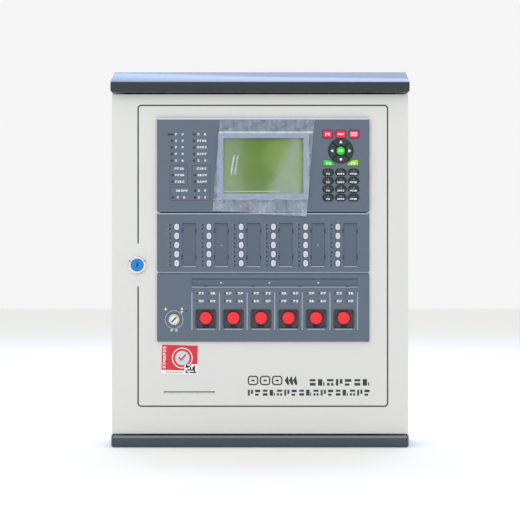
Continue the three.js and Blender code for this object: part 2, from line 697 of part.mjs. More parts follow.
function manualFascia() {
  const plate = fasciaPlate(fascia.bottom, fascia.manualTop, fascia.front);
  const cups = Array.from({ length: release.count }, (_, i) => {
    const outline = centred(wellX(i), well.z, well.width + 2 * well.wall, well.height + 2 * well.wall, well.corner);
    return slab(outline, fascia.front + 1, wellFloor + well.wall);
  });
  const hollows = Array.from({ length: release.count }, (_, i) =>
    slab(centred(wellX(i), well.z, well.width, well.height, well.corner), fascia.front - 1, wellFloor),
  );
  const stemHoles = Array.from({ length: release.count }, (_, i) =>
    rod(wellX(i), release.z, release.stem + fit, wellFloor - 1, wellFloor + well.wall + 1, 16),
  );
  const title = slab(
    roundedRect(titleSlot.left, titleSlot.right, titleSlot.bottom, titleSlot.top, 1),
    fascia.front - 1,
    fascia.front + titleSlot.depth,
    1,
  );
  const switchHole = rod(keySwitch.x, keySwitch.z, keySwitch.barrel + fit, fascia.front - 1, fascia.back + 1);
  return cut(join(plate, ...cups), ...hollows, ...stemHoles, title, switchHole);
}

function lcdBezel() {
  const skirt = skirtSize(0);
  const flangeBack = fascia.upperFront - touch;
  const rim = slab(centred(screen.x, screen.z, bezel.width, bezel.height, bezel.corner), bezel.front, flangeBack);
  const sleeve = slab(
    centred(screen.x, screen.z, skirt.width, skirt.height, 1),
    flangeBack - 0.5,
    screen.front - touch,
  );
  const window = slab(
    centred(screen.x, screen.z, screen.width, screen.height, 1.2),
    bezel.front - 1,
    screen.front + 1,
  );
  return cut(join(rim, sleeve), window);
}

function screenSheet(front, back, inset) {
  const size = skirtSize(-inset);
  return slab(centred(screen.x, screen.z, size.width, size.height, 1), front, back, 1);
}

function controlBoard() {
  const plate = block(
    [fascia.left + board.inset, fascia.right - board.inset],
    [board.front, board.back],
    [fascia.bottom + board.inset, fascia.top - board.inset],
  );
  const chip = (x, z, width, height, rise) =>
    block([x, x + width], [board.back - 0.5, board.back + rise], [z, z + height]);
  const chips = [chip(-30, 60, 28, 28, 3), chip(30, 70, 18, 18, 3), chip(-90, 90, 40, 9, 8), chip(60, 120, 50, 9, 8)];
  const switchHole = rod(keySwitch.x, keySwitch.z, keySwitch.barrel + 2, board.front - 1, board.back + 1, 20);
  return cut(join(plate, ...chips), switchHole);
}

// A blind keyhole in the front of a turned plug, leaning from the vertical.
function keyholeTool(x, z, face, hole) {
  const geometry = new THREE.BoxGeometry(hole.width, hole.depth + 1, hole.height);
  geometry.rotateY(THREE.MathUtils.degToRad(hole.lean));
  geometry.translate(x, face + (hole.depth - 1) / 2, z);
  return solidOf(geometry);
}

lock.face = fascia.front - 0.8;
lock.plugFace = lock.face - 0.5;
lock.barrelBack = box.front - 1.5;
lock.camFront = box.front + sheet + lock.cam.behindLip;
lock.camBack = lock.camFront + lock.cam.thickness;

function lockBarrel() {
  const bore = lock.plug + touch;
  const back = door.front - touch;
  return turned(
    [
      [bore, lock.face],
      [lock.collar - 1.2, lock.face],
      [lock.collar, lock.face + 1.2],
      [lock.collar, back],
      [lock.barrel, back],
      [lock.barrel, lock.barrelBack],
      [bore, lock.barrelBack],
      [bore, lock.face],
    ],
    lock.x,
    lock.z,
    32,
  );
}

function lockPlug() {
  const shoulder = lock.barrelBack + touch;
  const plug = turned(
    [
      [0, lock.plugFace],
      [lock.plug - 0.6, lock.plugFace],
      [lock.plug, lock.plugFace + 0.6],
      [lock.plug, shoulder],
      [lock.tail, shoulder],
      [lock.tail, lock.camBack + 1.5],
      [0, lock.camBack + 1.5],
    ],
    lock.x,
    lock.z,
    32,
  );
  return cut(plug, keyholeTool(lock.x, lock.z, lock.plugFace, lock.keyhole));
}

function lockCam() {
  const { length, width } = lock.cam;
  const half = width / 2;
  const outline = new THREE.Shape();
  outline.moveTo(lock.x - half, lock.z);
  outline.lineTo(lock.x - half, lock.z - length);
  outline.lineTo(lock.x + half, lock.z - length);
  outline.lineTo(lock.x + half, lock.z);
  outline.absarc(lock.x, lock.z, half, 0, Math.PI);
  const eye = rod(lock.x, lock.z, lock.tail + touch, lock.camFront - 1, lock.camBack + 1, 16);
  return cut(slab(outline, lock.camFront, lock.camBack), eye);
}

keySwitch.face = fascia.front - touch - keySwitch.collarHeight;
keySwitch.back = fascia.back + keySwitch.reach;

function keySwitchBody() {
  const bore = keySwitch.plug + touch;
  return turned(
    [
      [bore, keySwitch.face],
      [keySwitch.collar - 0.5, keySwitch.face],
      [keySwitch.collar, keySwitch.face + 0.5],
      [keySwitch.collar, fascia.front - touch],
      [keySwitch.barrel, fascia.front - touch],
      [keySwitch.barrel, keySwitch.back],
      [bore, keySwitch.back],
      [bore, keySwitch.face],
    ],
    keySwitch.x,
    keySwitch.z,
    28,
  );
}

function keySwitchPlug() {
  const plug = rod(keySwitch.x, keySwitch.z, keySwitch.plug, keySwitch.face + 0.2, keySwitch.back - 0.5, 28);
  return cut(plug, keyholeTool(keySwitch.x, keySwitch.z, keySwitch.face, keySwitch.keyhole));
}

// The printer hangs behind the paper slot: an open-backed case with a peg each side for the roll.
printer.halfWidth = roll.width / 2 + printer.sideRoom + printer.wall;
printer.front = door.back + touch;
printer.back = printer.front + printer.depth;
printer.bottom = slot.z - printer.height / 2;
printer.top = slot.z + printer.height / 2;
roll.y = printer.back - roll.fromBack;
roll.z = slot.z + 2;
platen.y = printer.front + platen.behind;
platen.z = slot.z - platen.below;

function printerBody() {
  const half = printer.halfWidth;
  const inner = half - printer.wall;
  const wall = printer.wall;
  const shell = cut(
    block([slot.x - half, slot.x + half], [printer.front, printer.back], [printer.bottom, printer.top]),
    block(
      [slot.x - inner, slot.x + inner],
      [printer.front + wall, printer.back + 1],
      [printer.bottom + wall, printer.top - wall],
    ),
    block(
      [slot.x - slot.width / 2 + 3, slot.x + slot.width / 2 - 3],
      [printer.front - 1, printer.front + wall + 1],
      [slot.z - 6, slot.z + 6],
    ),
  );
  const pegs = [-1, 1].map((side) => {
    const wallX = slot.x + side * (inner + 0.5);
    const tip = slot.x + side * (inner - printer.pegLength - printer.sideRoom);
    return bar(roll.y, roll.z, printer.pegRadius, Math.min(wallX, tip), Math.max(wallX, tip), 20);
  });
  const journals = [-1, 1].map((side) => {
    const wallX = slot.x + side * (half + 1);
    const innerX = slot.x + side * (inner - 1);
    return bar(platen.y, platen.z, platen.shaft + touch, Math.min(wallX, innerX), Math.max(wallX, innerX), 16);
  });
  return cut(join(shell, ...pegs), ...journals);
}

function printerMechanism() {
  const half = platen.width / 2 - 2;
  const near = printer.front + printer.wall + touch;
  const head = block([slot.x - half, slot.x + half], [near + 3, near + 7], [slot.z + 0.6, slot.z + 13]);
  const cutter = block([slot.x - half, slot.x + half], [near, near + 4], [slot.z + 0.9, slot.z + 5]);
  const motor = block([slot.x - 26, slot.x - 6], [near, near + 6], [slot.z + 12, slot.z + 24]);
  return join(head, cutter, motor);
}

function platenRoller() {
  const half = platen.width / 2;
  const end = printer.halfWidth - touch;
  const tyre = bar(platen.y, platen.z, platen.radius, slot.x - half, slot.x + half);
  return join(tyre, bar(platen.y, platen.z, platen.shaft, slot.x - end, slot.x + end, 16));
}

function paperRoll() {
  const half = roll.width / 2;
  const whole = bar(roll.y, roll.z, roll.radius, slot.x - half, slot.x + half, 36);
  return cut(whole, bar(roll.y, roll.z, roll.core, slot.x - half - 1, slot.x + half + 1, 24));
}

function inspectionLabel() {
  const outline = centred(0, 0, label.width, label.height, 1);
  return slab(outline, -label.thickness, 0, 1);
}

add(doorGroup, "door_panel", doorPanel(), lightPaint);
add(doorGroup, "upper_fascia", upperFascia(), greyPlastic);
add(doorGroup, "zone_fascia", zoneFascia(), greyPlastic);
add(doorGroup, "manual_fascia", manualFascia(), greyPlastic);
add(doorGroup, "lcd_bezel", lcdBezel(), greyPlastic);
add(
  doorGroup,
  "lcd_window",
  screenSheet(screen.front, screen.front + screen.thickness, 0),
  clearPlastic,
);
add(
  doorGroup,
  "lcd_module",
  screenSheet(screen.front + screen.thickness + touch, board.front - touch, 0.5),
  screenGreen,
);
add(
  doorGroup,
  "display_film",
  slab(polygon(film.corners), bezel.front - touch - film.thickness, bezel.front - touch),
  clearPlastic,
);
add(doorGroup, "control_board", controlBoard(), boardGreen);
add(doorGroup, "lock_barrel", lockBarrel(), brightSteel);
add(doorGroup, "lock_plug", lockPlug(), bluePlastic);
add(doorGroup, "lock_cam", lockCam(), zincSteel);
add(doorGroup, "key_switch_body", keySwitchBody(), brightSteel);
add(doorGroup, "key_switch_plug", keySwitchPlug(), brightSteel);
add(doorGroup, "printer_body", printerBody(), blackPlastic);
add(doorGroup, "printer_mechanism", printerMechanism(), brightSteel);
add(doorGroup, "platen_roller", platenRoller(), darkRubber);
add(doorGroup, "paper_roll", paperRoll(), creamPaper);

const labelMesh = add(doorGroup, "inspection_label", inspectionLabel(), labelRed);
labelMesh.position.set(label.x, door.front - touch, door.bottom + label.rise);
labelMesh.rotation.y = THREE.MathUtils.degToRad(-label.tilt);

// ---------------------------------------------------------------- keys and buttons
// A key cap that passes through its fascia, with a wider flange behind it and a stem to the board.
function keySolid(capOutlineShape, flangeOutline, x, z, segments) {
  const capBody = slab(capOutlineShape, keys.front, keys.flangeFront + 0.2, segments);
  const flange = slab(flangeOutline, keys.flangeFront, keys.flangeBack, segments);
  const stem = block([x - keys.stem, x + keys.stem], [keys.flangeBack - 0.2, keys.stemEnd], [z - keys.stem, z + keys.stem]);
  return join(capBody, flange, stem);
}

for (let i = 0; i < redKey.count; i += 1) {
  const flange = redKeyOutline(i, fit + keys.flange, fit);
  const solid = keySolid(redKeyOutline(i, 0), flange, redKeyX(i), redKey.z, 1);
  add(doorGroup, `red_key_${i + 1}`, solid, redKeyPlastic);
}

const navDirections = { right: 0, up: 90, left: 180, down: 270 };
for (const [name, degrees] of Object.entries(navDirections)) {
  const direction = THREE.MathUtils.degToRad(degrees);
  const middle = (nav.inner + nav.outer) / 2;
  const x = pad.x + middle * Math.cos(direction);
  const z = nav.z + middle * Math.sin(direction);
  const face = sector(pad.x, nav.z, nav.inner, nav.outer, nav.gap, direction);
  const flange = sector(pad.x, nav.z, nav.inner, nav.outer + fit + nav.flange, nav.gap, direction);
  add(doorGroup, `nav_${name}`, keySolid(face, flange, x, z, 5), darkRubber);
}

const okDisc = (radius) => new THREE.Shape().absarc(pad.x, nav.z, radius, 0, 2 * Math.PI);
add(doorGroup, "nav_ok", keySolid(okDisc(nav.ok), okDisc(nav.ok + 0.8), pad.x, nav.z, 10), greenPlastic);

const wingMiddle = (wing.inner + wing.outer) / 2;
const wingZ = (wing.bottom + wing.shoulder) / 2 + 1;
const wingSolid = (side) =>
  keySolid(wingOutline(side, 0), wingOutline(side, fit + 0.5), pad.x + side * wingMiddle, wingZ, 1);
add(doorGroup, "confirm_key", wingSolid(-1), greenPlastic);
add(doorGroup, "cancel_key", wingSolid(1), limePlastic);

// Twelve digit keys moulded on one silicone mat.
function numberKeyMat() {
  const first = digitCells[0];
  const last = digitCells[digitCells.length - 1];
  const mat = block(
    [first.x - digitKey.width / 2 - 1, last.x + digitKey.width / 2 + 1],
    [keys.flangeFront, keys.flangeBack],
    [last.z - digitKey.height / 2 - 1, first.z + digitKey.height / 2 + 1],
  );
  const caps = digitCells.map((cell) => slab(digitOutline(cell, 0), keys.front, keys.flangeFront + 0.2));
  const stems = digitCells.map((cell) =>
    block(
      [cell.x - keys.stem, cell.x + keys.stem],
      [keys.flangeBack - 0.2, keys.stemEnd],
      [cell.z - keys.stem, cell.z + keys.stem],
    ),
  );
  return join(mat, ...caps, ...stems);
}
add(doorGroup, "number_key_mat", numberKeyMat(), darkRubber);

// Five zone keys moulded on one silicone strip.
function zoneKeyStrip(column) {
  const x = zoneX(column);
  const near = fascia.front - zone.key.proud;
  const web = block(
    [x - zone.web.width, x + zone.web.width],
    [keys.flangeFront, keys.flangeFront + zone.web.thickness],
    [zoneZ(zone.rows - 1) - zone.key.height / 2 - 1, zoneZ(0) + zone.key.height / 2 + 1],
  );
  const rows = Array.from({ length: zone.rows }, (_, row) => row);
  const caps = rows.map((row) => slab(zoneKeyOutline(column, row, 0), near, keys.flangeFront + 0.2, 1));
  const stems = rows.map((row) =>
    block(
      [x - keys.stem, x + keys.stem],
      [keys.flangeFront, keys.stemEnd],
      [zoneZ(row) - keys.stem, zoneZ(row) + keys.stem],
    ),
  );
  return join(web, ...caps, ...stems);
}
for (let i = 0; i < zone.count; i += 1) {
  add(doorGroup, `zone_key_strip_${i + 1}`, zoneKeyStrip(i), whiteRubber);
}

// A round release button that sinks into its square well.
function releaseButton(index) {
  const face = fascia.front - release.proud;
  const skirtEnd = wellFloor - release.overFloor;
  return turned(
    [
      [0, face],
      [release.radius - 1, face],
      [release.radius, face + 1],
      [release.radius, skirtEnd],
      [release.stem, skirtEnd],
      [release.stem, wellFloor + well.wall + release.stemReach],
      [0, wellFloor + well.wall + release.stemReach],
    ],
    wellX(index),
    release.z,
  );
}
for (let i = 0; i < release.count; i += 1) {
  add(doorGroup, `release_button_${i + 1}`, releaseButton(i), redPlastic);
}

export default panel;
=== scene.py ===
"""Fire alarm control panel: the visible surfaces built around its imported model.

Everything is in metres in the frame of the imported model: +Z up, +X right seen from the front,
the wall at y = 0 and the front towards -Y. Sizes below are written in millimetres and turned
into metres by one function.
"""

import logging
import math
import random
from collections.abc import Callable, Iterable, Sequence
from dataclasses import dataclass, field
from enum import Enum

import bpy
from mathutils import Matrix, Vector


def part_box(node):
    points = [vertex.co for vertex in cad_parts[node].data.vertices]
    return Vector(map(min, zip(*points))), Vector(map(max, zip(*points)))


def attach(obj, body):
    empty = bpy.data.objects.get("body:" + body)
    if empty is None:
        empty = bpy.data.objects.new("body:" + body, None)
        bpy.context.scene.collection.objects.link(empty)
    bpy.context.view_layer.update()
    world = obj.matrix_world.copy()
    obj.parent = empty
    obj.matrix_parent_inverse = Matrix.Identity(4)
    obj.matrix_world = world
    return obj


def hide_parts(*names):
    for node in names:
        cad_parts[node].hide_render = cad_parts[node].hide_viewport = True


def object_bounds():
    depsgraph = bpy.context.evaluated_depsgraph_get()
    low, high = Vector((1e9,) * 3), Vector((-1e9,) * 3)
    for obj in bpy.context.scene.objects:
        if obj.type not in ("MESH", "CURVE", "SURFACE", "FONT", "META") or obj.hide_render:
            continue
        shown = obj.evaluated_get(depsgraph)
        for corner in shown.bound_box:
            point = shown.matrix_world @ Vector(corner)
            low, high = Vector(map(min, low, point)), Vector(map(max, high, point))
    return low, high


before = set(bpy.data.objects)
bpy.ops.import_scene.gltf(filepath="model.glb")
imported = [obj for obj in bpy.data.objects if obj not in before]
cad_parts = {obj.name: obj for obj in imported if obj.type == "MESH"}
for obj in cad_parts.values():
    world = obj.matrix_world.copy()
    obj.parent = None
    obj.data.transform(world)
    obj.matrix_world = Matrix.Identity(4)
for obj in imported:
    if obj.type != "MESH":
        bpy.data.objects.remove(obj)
CAD_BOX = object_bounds()
LOG = logging.getLogger("panel")
EMBED = 0.02  # how far a printed or glued piece sinks into its carrier, in mm
HAIR = 1e-6  # tolerance for finding vertices by place, in metres
MAT_FRONT = -125.9  # y of the front of the rubber mats that carry the keys, in mm
MAT_BACK = -124.9  # y of the back of those mats, in mm
KEY_ROOT = -125.7  # y where a moulded key ends, just inside its mat, in mm
FLANGE_FRONT = -125.6  # y of the front of the flange that keeps the OK key in, in mm

Span = tuple[float, float]
Piece = bpy.types.Object


# ---------------------------------------------------------------- measures
def mm(value: float) -> float:
    """Millimetres as metres."""
    return value / 1000.0


def box_mm(node: str) -> tuple[Vector, Vector]:
    """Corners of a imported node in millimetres.

    Args:
        node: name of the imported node.

    Returns:
        The lowest and the highest corner.
    """
    low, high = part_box(node)
    return low * 1000.0, high * 1000.0


def centre_mm(node: str) -> Vector:
    """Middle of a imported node's box in millimetres."""
    low, high = box_mm(node)
    return (low + high) / 2


def srgb(code: str) -> tuple[float, float, float, float]:
    """An sRGB hex colour as linear red, green, blue and full alpha.

    Args:
        code: six hex digits with a leading hash.

    Returns:
        The linear colour.
    """
    channels = (int(code[i : i + 2], 16) / 255 for i in (1, 3, 5))
    linear = [c / 12.92 if c <= 0.04045 else ((c + 0.055) / 1.055) ** 2.4 for c in channels]
    return (linear[0], linear[1], linear[2], 1.0)


# ---------------------------------------------------------------- finishes
class Grain(Enum):
    """How a surface's fine relief was made."""

    PEBBLE = "pebble"  # spark-eroded mould or sprayed powder
    BRUSHED = "brushed"  # drawn or rolled along the width
    WAVY = "wavy"  # slow unevenness of a glossy face


@dataclass(frozen=True)
class Finish:
    """A surface, real or painted light: its colour, its gloss and the size and depth of its relief.

    Args:
        name: the material's common name.
        colour: sRGB hex of the surface.
        roughness: principled roughness.
        metallic: 1 for bare metal.
        grain: kind of relief.
        grain_mm: distance between the relief's bumps.
        relief: strength of the relief from 0 to 1.
        mottle: how far the colour wanders from place to place, 0 to 1.
        second: sRGB hex that the colour wanders to; empty for a darker shade of the same.
        coat: clear coat weight.
        alpha: 1 for opaque.
        glow: emission strength of the surface's own colour.
    """

    name: str
    colour: str
    roughness: float
    metallic: float = 0.0
    grain: Grain = Grain.PEBBLE
    grain_mm: float = 0.6
    relief: float = 0.15
    mottle: float = 0.06
    second: str = ""
    coat: float = 0.0
    alpha: float = 1.0
    glow: float = 0.0

    def second_colour(self) -> tuple[float, float, float, float]:
        """The colour that the first one wanders to.

        Returns:
            The colour, linear, with alpha.
        """
        if self.second:
            return srgb(self.second)
        base = srgb(self.colour)
        return (base[0] * 0.8, base[1] * 0.8, base[2] * 0.8, 1.0)


def add_node(
    tree: bpy.types.NodeTree,
    kind: str,
    settings: dict[str, object] | None = None,
    links: dict[str, bpy.types.NodeSocket] | None = None,
) -> bpy.types.Node:
    """Add a shader node with its settings and its incoming links.

    Args:
        tree: the material's node tree.
        kind: Blender's type name of the node.
        settings: attribute or input socket names with their values.
        links: input socket names with the sockets that feed them.

    Returns:
        The new node.
    """
    node = tree.nodes.new(kind)
    for key, value in (settings or {}).items():
        if hasattr(node, key) and key not in node.inputs:
            setattr(node, key, value)
        else:
            node.inputs[key].default_value = value
    for key, source in (links or {}).items():
        tree.links.new(source, node.inputs[key])
    return node


MATERIALS: dict[str, bpy.types.Material] = {}


def open_material(finish: Finish) -> tuple[bpy.types.Material, bpy.types.Node]:
    """A cleared node material with its principled shader set from a finish.

    Args:
        finish: the surface to make.

    Returns:
        The material and its shader node.
    """
    material = bpy.data.materials.new(finish.name)
    material.use_nodes = True
    tree = material.node_tree
    tree.nodes.clear()
    shader = add_node(
        tree,
        "ShaderNodeBsdfPrincipled",
        {
            "Base Color": srgb(finish.colour),
            "Roughness": finish.roughness,
            "Metallic": finish.metallic,
            "Coat Weight": finish.coat,
            "Alpha": finish.alpha,
        },
    )
    if finish.glow:
        shader.inputs["Emission Color"].default_value = srgb(finish.colour)
        shader.inputs["Emission Strength"].default_value = finish.glow
    output = tree.nodes.new("ShaderNodeOutputMaterial")
    tree.links.new(shader.outputs["BSDF"], output.inputs["Surface"])
    return material, shader


def surface(finish: Finish) -> bpy.types.Material:
    """The node material of a finish, made once and shared.

    Args:
        finish: the surface to make.

    Returns:
        The material.
    """
    if finish.name in MATERIALS:
        return MATERIALS[finish.name]
    material, shader = open_material(finish)
    tree = material.node_tree
    place = add_node(tree, "ShaderNodeTexCoord").outputs["Object"]
    stretch = (0.04, 1.0, 1.0) if finish.grain is Grain.BRUSHED else (1.0, 1.0, 1.0)
    mapped = add_node(tree, "ShaderNodeMapping", {"Scale": stretch}, {"Vector": place}).outputs["Vector"]
    fine = add_node(
        tree,
        "ShaderNodeTexNoise",
        {"Scale": 1.0 / mm(finish.grain_mm), "Detail": 3.0, "Roughness": 0.55},
        {"Vector": mapped},
    ).outputs["Fac"]
    broad = add_node(
        tree,
        "ShaderNodeTexNoise",
        {"Scale": 1.0 / mm(70), "Detail": 2.0},
        {"Vector": place},
    ).outputs["Fac"]
    wander = add_node(
        tree,
        "ShaderNodeMath",
        {"operation": "MULTIPLY"},
        {"Value": broad},
    )
    wander.inputs[1].default_value = finish.mottle * 2
    tint = add_node(tree, "ShaderNodeMix", {"data_type": "RGBA"})
    tint.inputs[6].default_value = srgb(finish.colour)
    tint.inputs[7].default_value = finish.second_colour()
    tree.links.new(wander.outputs[0], tint.inputs[0])
    tree.links.new(tint.outputs[2], shader.inputs["Base Color"])
    gloss = add_node(
        tree,
        "ShaderNodeMapRange",
        {"To Min": max(0.02, finish.roughness - 0.06), "To Max": min(1.0, finish.roughness + 0.06)},
        {"Value": fine},
    )
    tree.links.new(gloss.outputs["Result"], shader.inputs["Roughness"])
    bump = add_node(
        tree,
        "ShaderNodeBump",
        {"Strength": finish.relief, "Distance": mm(finish.grain_mm * 0.12)},
        {"Height": fine},
    )
    tree.links.new(bump.outputs["Normal"], shader.inputs["Normal"])
    MATERIALS[finish.name] = material
    return material


class Finishes:
    """Every surface of the panel, named for the real material and how it was made, or for the painted light
    it stands for.
    """

    # Epoxy-polyester powder on steel: satin, with a fine orange peel that softens highlights.
    light_powder = Finish("light_grey_powder_coat", "#DDDDD9", 0.42, grain_mm=0.9, relief=0.12, mottle=0.03)
    slate_powder = Finish(
        "slate_powder_coat", "#202932", 0.33, grain_mm=0.9, relief=0.1, mottle=0.05, coat=0.1
    )
    # The base strip's coat is a shade paler, with a paler painted highlight along its upper edge where the
    # bevel catches the light.
    slate_base = Finish("slate_base_powder_coat", "#3C4650", 0.4, grain_mm=0.9, relief=0.14, mottle=0.05)
    slate_edge_highlight = Finish("slate_edge_painted_highlight", "#75828F", 0.4, grain_mm=0.9, relief=0.08)
    # Zinc-plated sheet: bright grey with the drawing lines of the rolling mill.
    zinc = Finish("zinc_plated_steel", "#B9BEC2", 0.34, 1.0, Grain.BRUSHED, 0.5, 0.2, 0.1)
    # Nickel-plated turned steel: nearly a mirror.
    nickel = Finish("nickel_plated_steel", "#D9DBDD", 0.14, 1.0, Grain.BRUSHED, 0.3, 0.06, 0.05)
    # ABS with a spark-eroded texture: even satin, no lines.
    abs_blue_grey = Finish(
        "blue_grey_abs_moulding", "#5D6979", 0.46, grain_mm=0.5, relief=0.14, mottle=0.05
    )
    # The same moulding in a paler tone, with a gloss bevel that catches the light.
    bezel = Finish("pale_blue_grey_abs_moulding", "#8C9AB2", 0.36, grain_mm=0.5, relief=0.1, mottle=0.04)
    abs_black = Finish("black_abs_moulding", "#22262C", 0.5, grain_mm=0.5, relief=0.2)
    abs_smoke = Finish("smoke_abs_moulding", "#6C6972", 0.5, grain_mm=0.5, relief=0.15)
    abs_lip = Finish("slate_blue_abs_moulding", "#55637A", 0.4, grain_mm=0.5, relief=0.1)
    card = Finish("slate_label_card", "#566375", 0.55, grain_mm=0.4, relief=0.06)
    # Gloss-moulded signal red: saturated, soft highlight.
    abs_red = Finish("signal_red_moulding", "#F2262F", 0.34, grain_mm=0.8, relief=0.05, mottle=0.03)
    abs_blue = Finish("blue_lock_moulding", "#0A7FD2", 0.3, grain_mm=0.8, relief=0.05)
    abs_green = Finish("green_terminal_moulding", "#2F9E4F", 0.5)
    # Silicone rubber keys: matt with a faint sheen.
    key_red = Finish("red_silicone", "#F0124B", 0.42, grain_mm=0.4, relief=0.08)
    key_green = Finish("green_silicone", "#2FD03A", 0.42, grain_mm=0.4, relief=0.08)
    key_lime = Finish("lime_silicone", "#97DD22", 0.42, grain_mm=0.4, relief=0.08)
    key_dark = Finish("dark_silicone", "#26322F", 0.4, grain_mm=0.4, relief=0.1)
    key_rim = Finish("black_green_silicone", "#141C1B", 0.36, grain_mm=0.4, relief=0.08)
    key_white = Finish("white_silicone", "#D3D7DE", 0.42, grain_mm=0.4, relief=0.06, mottle=0.02)
    # Screen-printed inks; the surround and edge inks also serve as painted shade and painted highlight.
    ink_white = Finish("white_ink", "#F4F6F8", 0.6, grain_mm=0.3, relief=0.05)
    ink_dark = Finish("charcoal_ink", "#33363A", 0.6, grain_mm=0.3, relief=0.05)
    ink_line = Finish("plum_grey_ink", "#4A4A5C", 0.6, grain_mm=0.3, relief=0.05)
    ink_grey = Finish("pale_grey_ink", "#98A0A8", 0.6, grain_mm=0.3, relief=0.05)
    # Dark surround ink: printed outlines, and painted shade along the tops of the card recesses and the title
    # slot and round the release-button wells.
    surround_ink_and_shade = Finish("dark_surround_ink_and_painted_shade", "#363C4A", 0.55, grain_mm=0.3, relief=0.05)
    # Pale edge ink: the printed ring round the key switch, and painted highlights on the lit lower edges of
    # the card recesses, the title slot and the wells.
    pale_ink_and_edge_highlight = Finish("pale_ink_and_painted_edge_highlight", "#A3B0C4", 0.4, grain_mm=0.3, relief=0.05)
    # Painted highlights along the top edges of the upper and zone fascias, where their bevels catch the
    # light.
    crown = Finish("fascia_crown_painted_highlight", "#CDD6E0", 0.3, grain_mm=0.5, relief=0.05)
    bevel = Finish("fascia_bevel_painted_highlight", "#B4C2D6", 0.3, grain_mm=0.5, relief=0.05)
    ink_mist = Finish("pale_blue_ink", "#C9D6DC", 0.5, grain_mm=0.3, relief=0.05)
    ink_pale = Finish("dim_grey_ink", "#8992A2", 0.6, grain_mm=0.3, relief=0.05)
    ink_red = Finish("red_ink", "#D92A36", 0.5, grain_mm=0.3, relief=0.05)
    # Gloss paper sticker and thermal paper.
    sticker = Finish("gloss_sticker_paper", "#EEF0F3", 0.4, grain_mm=0.5, relief=0.04)
    paper = Finish("thermal_paper", "#F5F3EC", 0.7, grain_mm=0.25, relief=0.1)
    # Smoked epoxy lens of an unlit lamp.
    lens = Finish(
        "smoked_lamp_lens", "#171D1B", 0.18, grain=Grain.WAVY, grain_mm=2.0, relief=0.05, coat=0.5
    )
    window = Finish("clear_acrylic", "#DCE8E2", 0.04, grain=Grain.WAVY, grain_mm=8, relief=0.02, alpha=0.02)
    solder_mask = Finish(
        "green_solder_mask", "#1E6B46", 0.35, grain_mm=1.2, relief=0.3, mottle=0.5, second="#2D8257", coat=0.2
    )
    # Painted highlights on the unlit display glass: a glowing green line at its foot and an amber one at its
    # top.
    lcd_foot_highlight = Finish("green_painted_glass_highlight", "#A8CF66", 0.3, grain_mm=0.8, relief=0.05, glow=0.3)
    lcd_top_highlight = Finish("amber_painted_glass_highlight", "#8B7F52", 0.4, grain_mm=0.8, relief=0.05)
    # Grey line in the door's pressed groove: painted shade of the groove.
    groove_shade = Finish("grey_painted_groove_shade", "#474848", 0.6, grain_mm=0.6, relief=0.1)
    rubber = Finish("black_rubber", "#1D1F21", 0.65, grain_mm=0.5, relief=0.2)
    copper = Finish("tinned_copper", "#C9C3B4", 0.3, 1.0, Grain.PEBBLE, 0.4, 0.1)
    chip = Finish("epoxy_chip", "#17181A", 0.5, grain_mm=0.3, relief=0.1)
    sleeve = Finish("blue_shrink_sleeve", "#22406E", 0.3, grain_mm=1.0, relief=0.05)
    # Small parts inside.
    relay = Finish("blue_relay_can", "#2A5FA8", 0.35, grain_mm=0.8, relief=0.05)
    track = Finish("covered_copper_track", "#2F8A5C", 0.35, grain_mm=0.6, relief=0.05)
    cone_paper = Finish("pressed_cone_paper", "#26272A", 0.8, grain_mm=0.7, relief=0.4, mottle=0.2)
    battery_case = Finish("charcoal_battery_abs", "#2C2E33", 0.5, grain_mm=0.6, relief=0.2)
    battery_plate = Finish("blue_battery_plate", "#2D5F93", 0.4, grain_mm=0.6, relief=0.04)
    # Ribs and rims of the lower fascia, drawn paler than the fascia; the same colour fills the lower fascia
    # seam as a painted highlight.
    rib = Finish("pale_rib_and_seam_painted_highlight", "#94A0B2", 0.38, grain_mm=0.5, relief=0.08)
    # Brushed nickel seen in a bright room: a warm, pale disc, its paleness a painted reflection of the room.
    cream_disc = Finish("pale_nickel_disc", "#EFEBDF", 0.4, 0.25, Grain.BRUSHED, 0.4, 0.08)
    # Matt painted board of the studio.
    studio_floor = Finish("pale_studio_board", "#F3F3F2", 0.85, grain_mm=3.0, relief=0.02, mottle=0.01)
    # Cream plastic of the connectors; on the lock's nickel collar this colour is a painted reflection of the
    # bright room.
    cream = Finish("cream_plastic", "#EFECE3", 0.35, grain_mm=0.6, relief=0.06)


# ---------------------------------------------------------------- modelling
def deselect() -> None:
    """Leave edit mode and select nothing."""
    if bpy.context.mode != "OBJECT":
        bpy.ops.object.mode_set(mode="OBJECT")
    bpy.ops.object.select_all(action="DESELECT")


def activate(piece: Piece) -> None:
    """Select one piece alone and make it the active one.

    Args:
        piece: the piece to select and make active.
    """
    deselect()
    piece.select_set(True)
    bpy.context.view_layer.objects.active = piece


def settle(name: str) -> Piece:
    """Name the active object and move its place, turn and size into its mesh.

    Args:
        name: the piece's name.

    Returns:
        The settled object.
    """
    piece = bpy.context.object
    piece.name = name
    piece.data.name = name
    bpy.ops.object.transform_apply(location=True, rotation=True, scale=True)
    return piece


def edit_all(piece: Piece) -> None:
    """Enter edit mode on a piece with all of it selected.

    Args:
        piece: the piece to work on.
    """
    activate(piece)
    bpy.ops.object.mode_set(mode="EDIT")
    bpy.ops.mesh.select_all(action="SELECT")


def choose(piece: Piece, kind: str, passes: Callable[..., bool]) -> None:
    """Enter edit mode with just the edges or faces selected that pass a test.

    Args:
        piece: the piece to work on.
        kind: EDGE or FACE.
        passes: test of one edge or face of the mesh.
    """
    activate(piece)
    bpy.ops.object.mode_set(mode="EDIT")
    bpy.ops.mesh.select_mode(type=kind)
    bpy.ops.mesh.select_all(action="DESELECT")
    bpy.ops.object.mode_set(mode="OBJECT")
    for member in piece.data.edges if kind == "EDGE" else piece.data.polygons:
        member.select = passes(member)
    bpy.ops.object.mode_set(mode="EDIT")


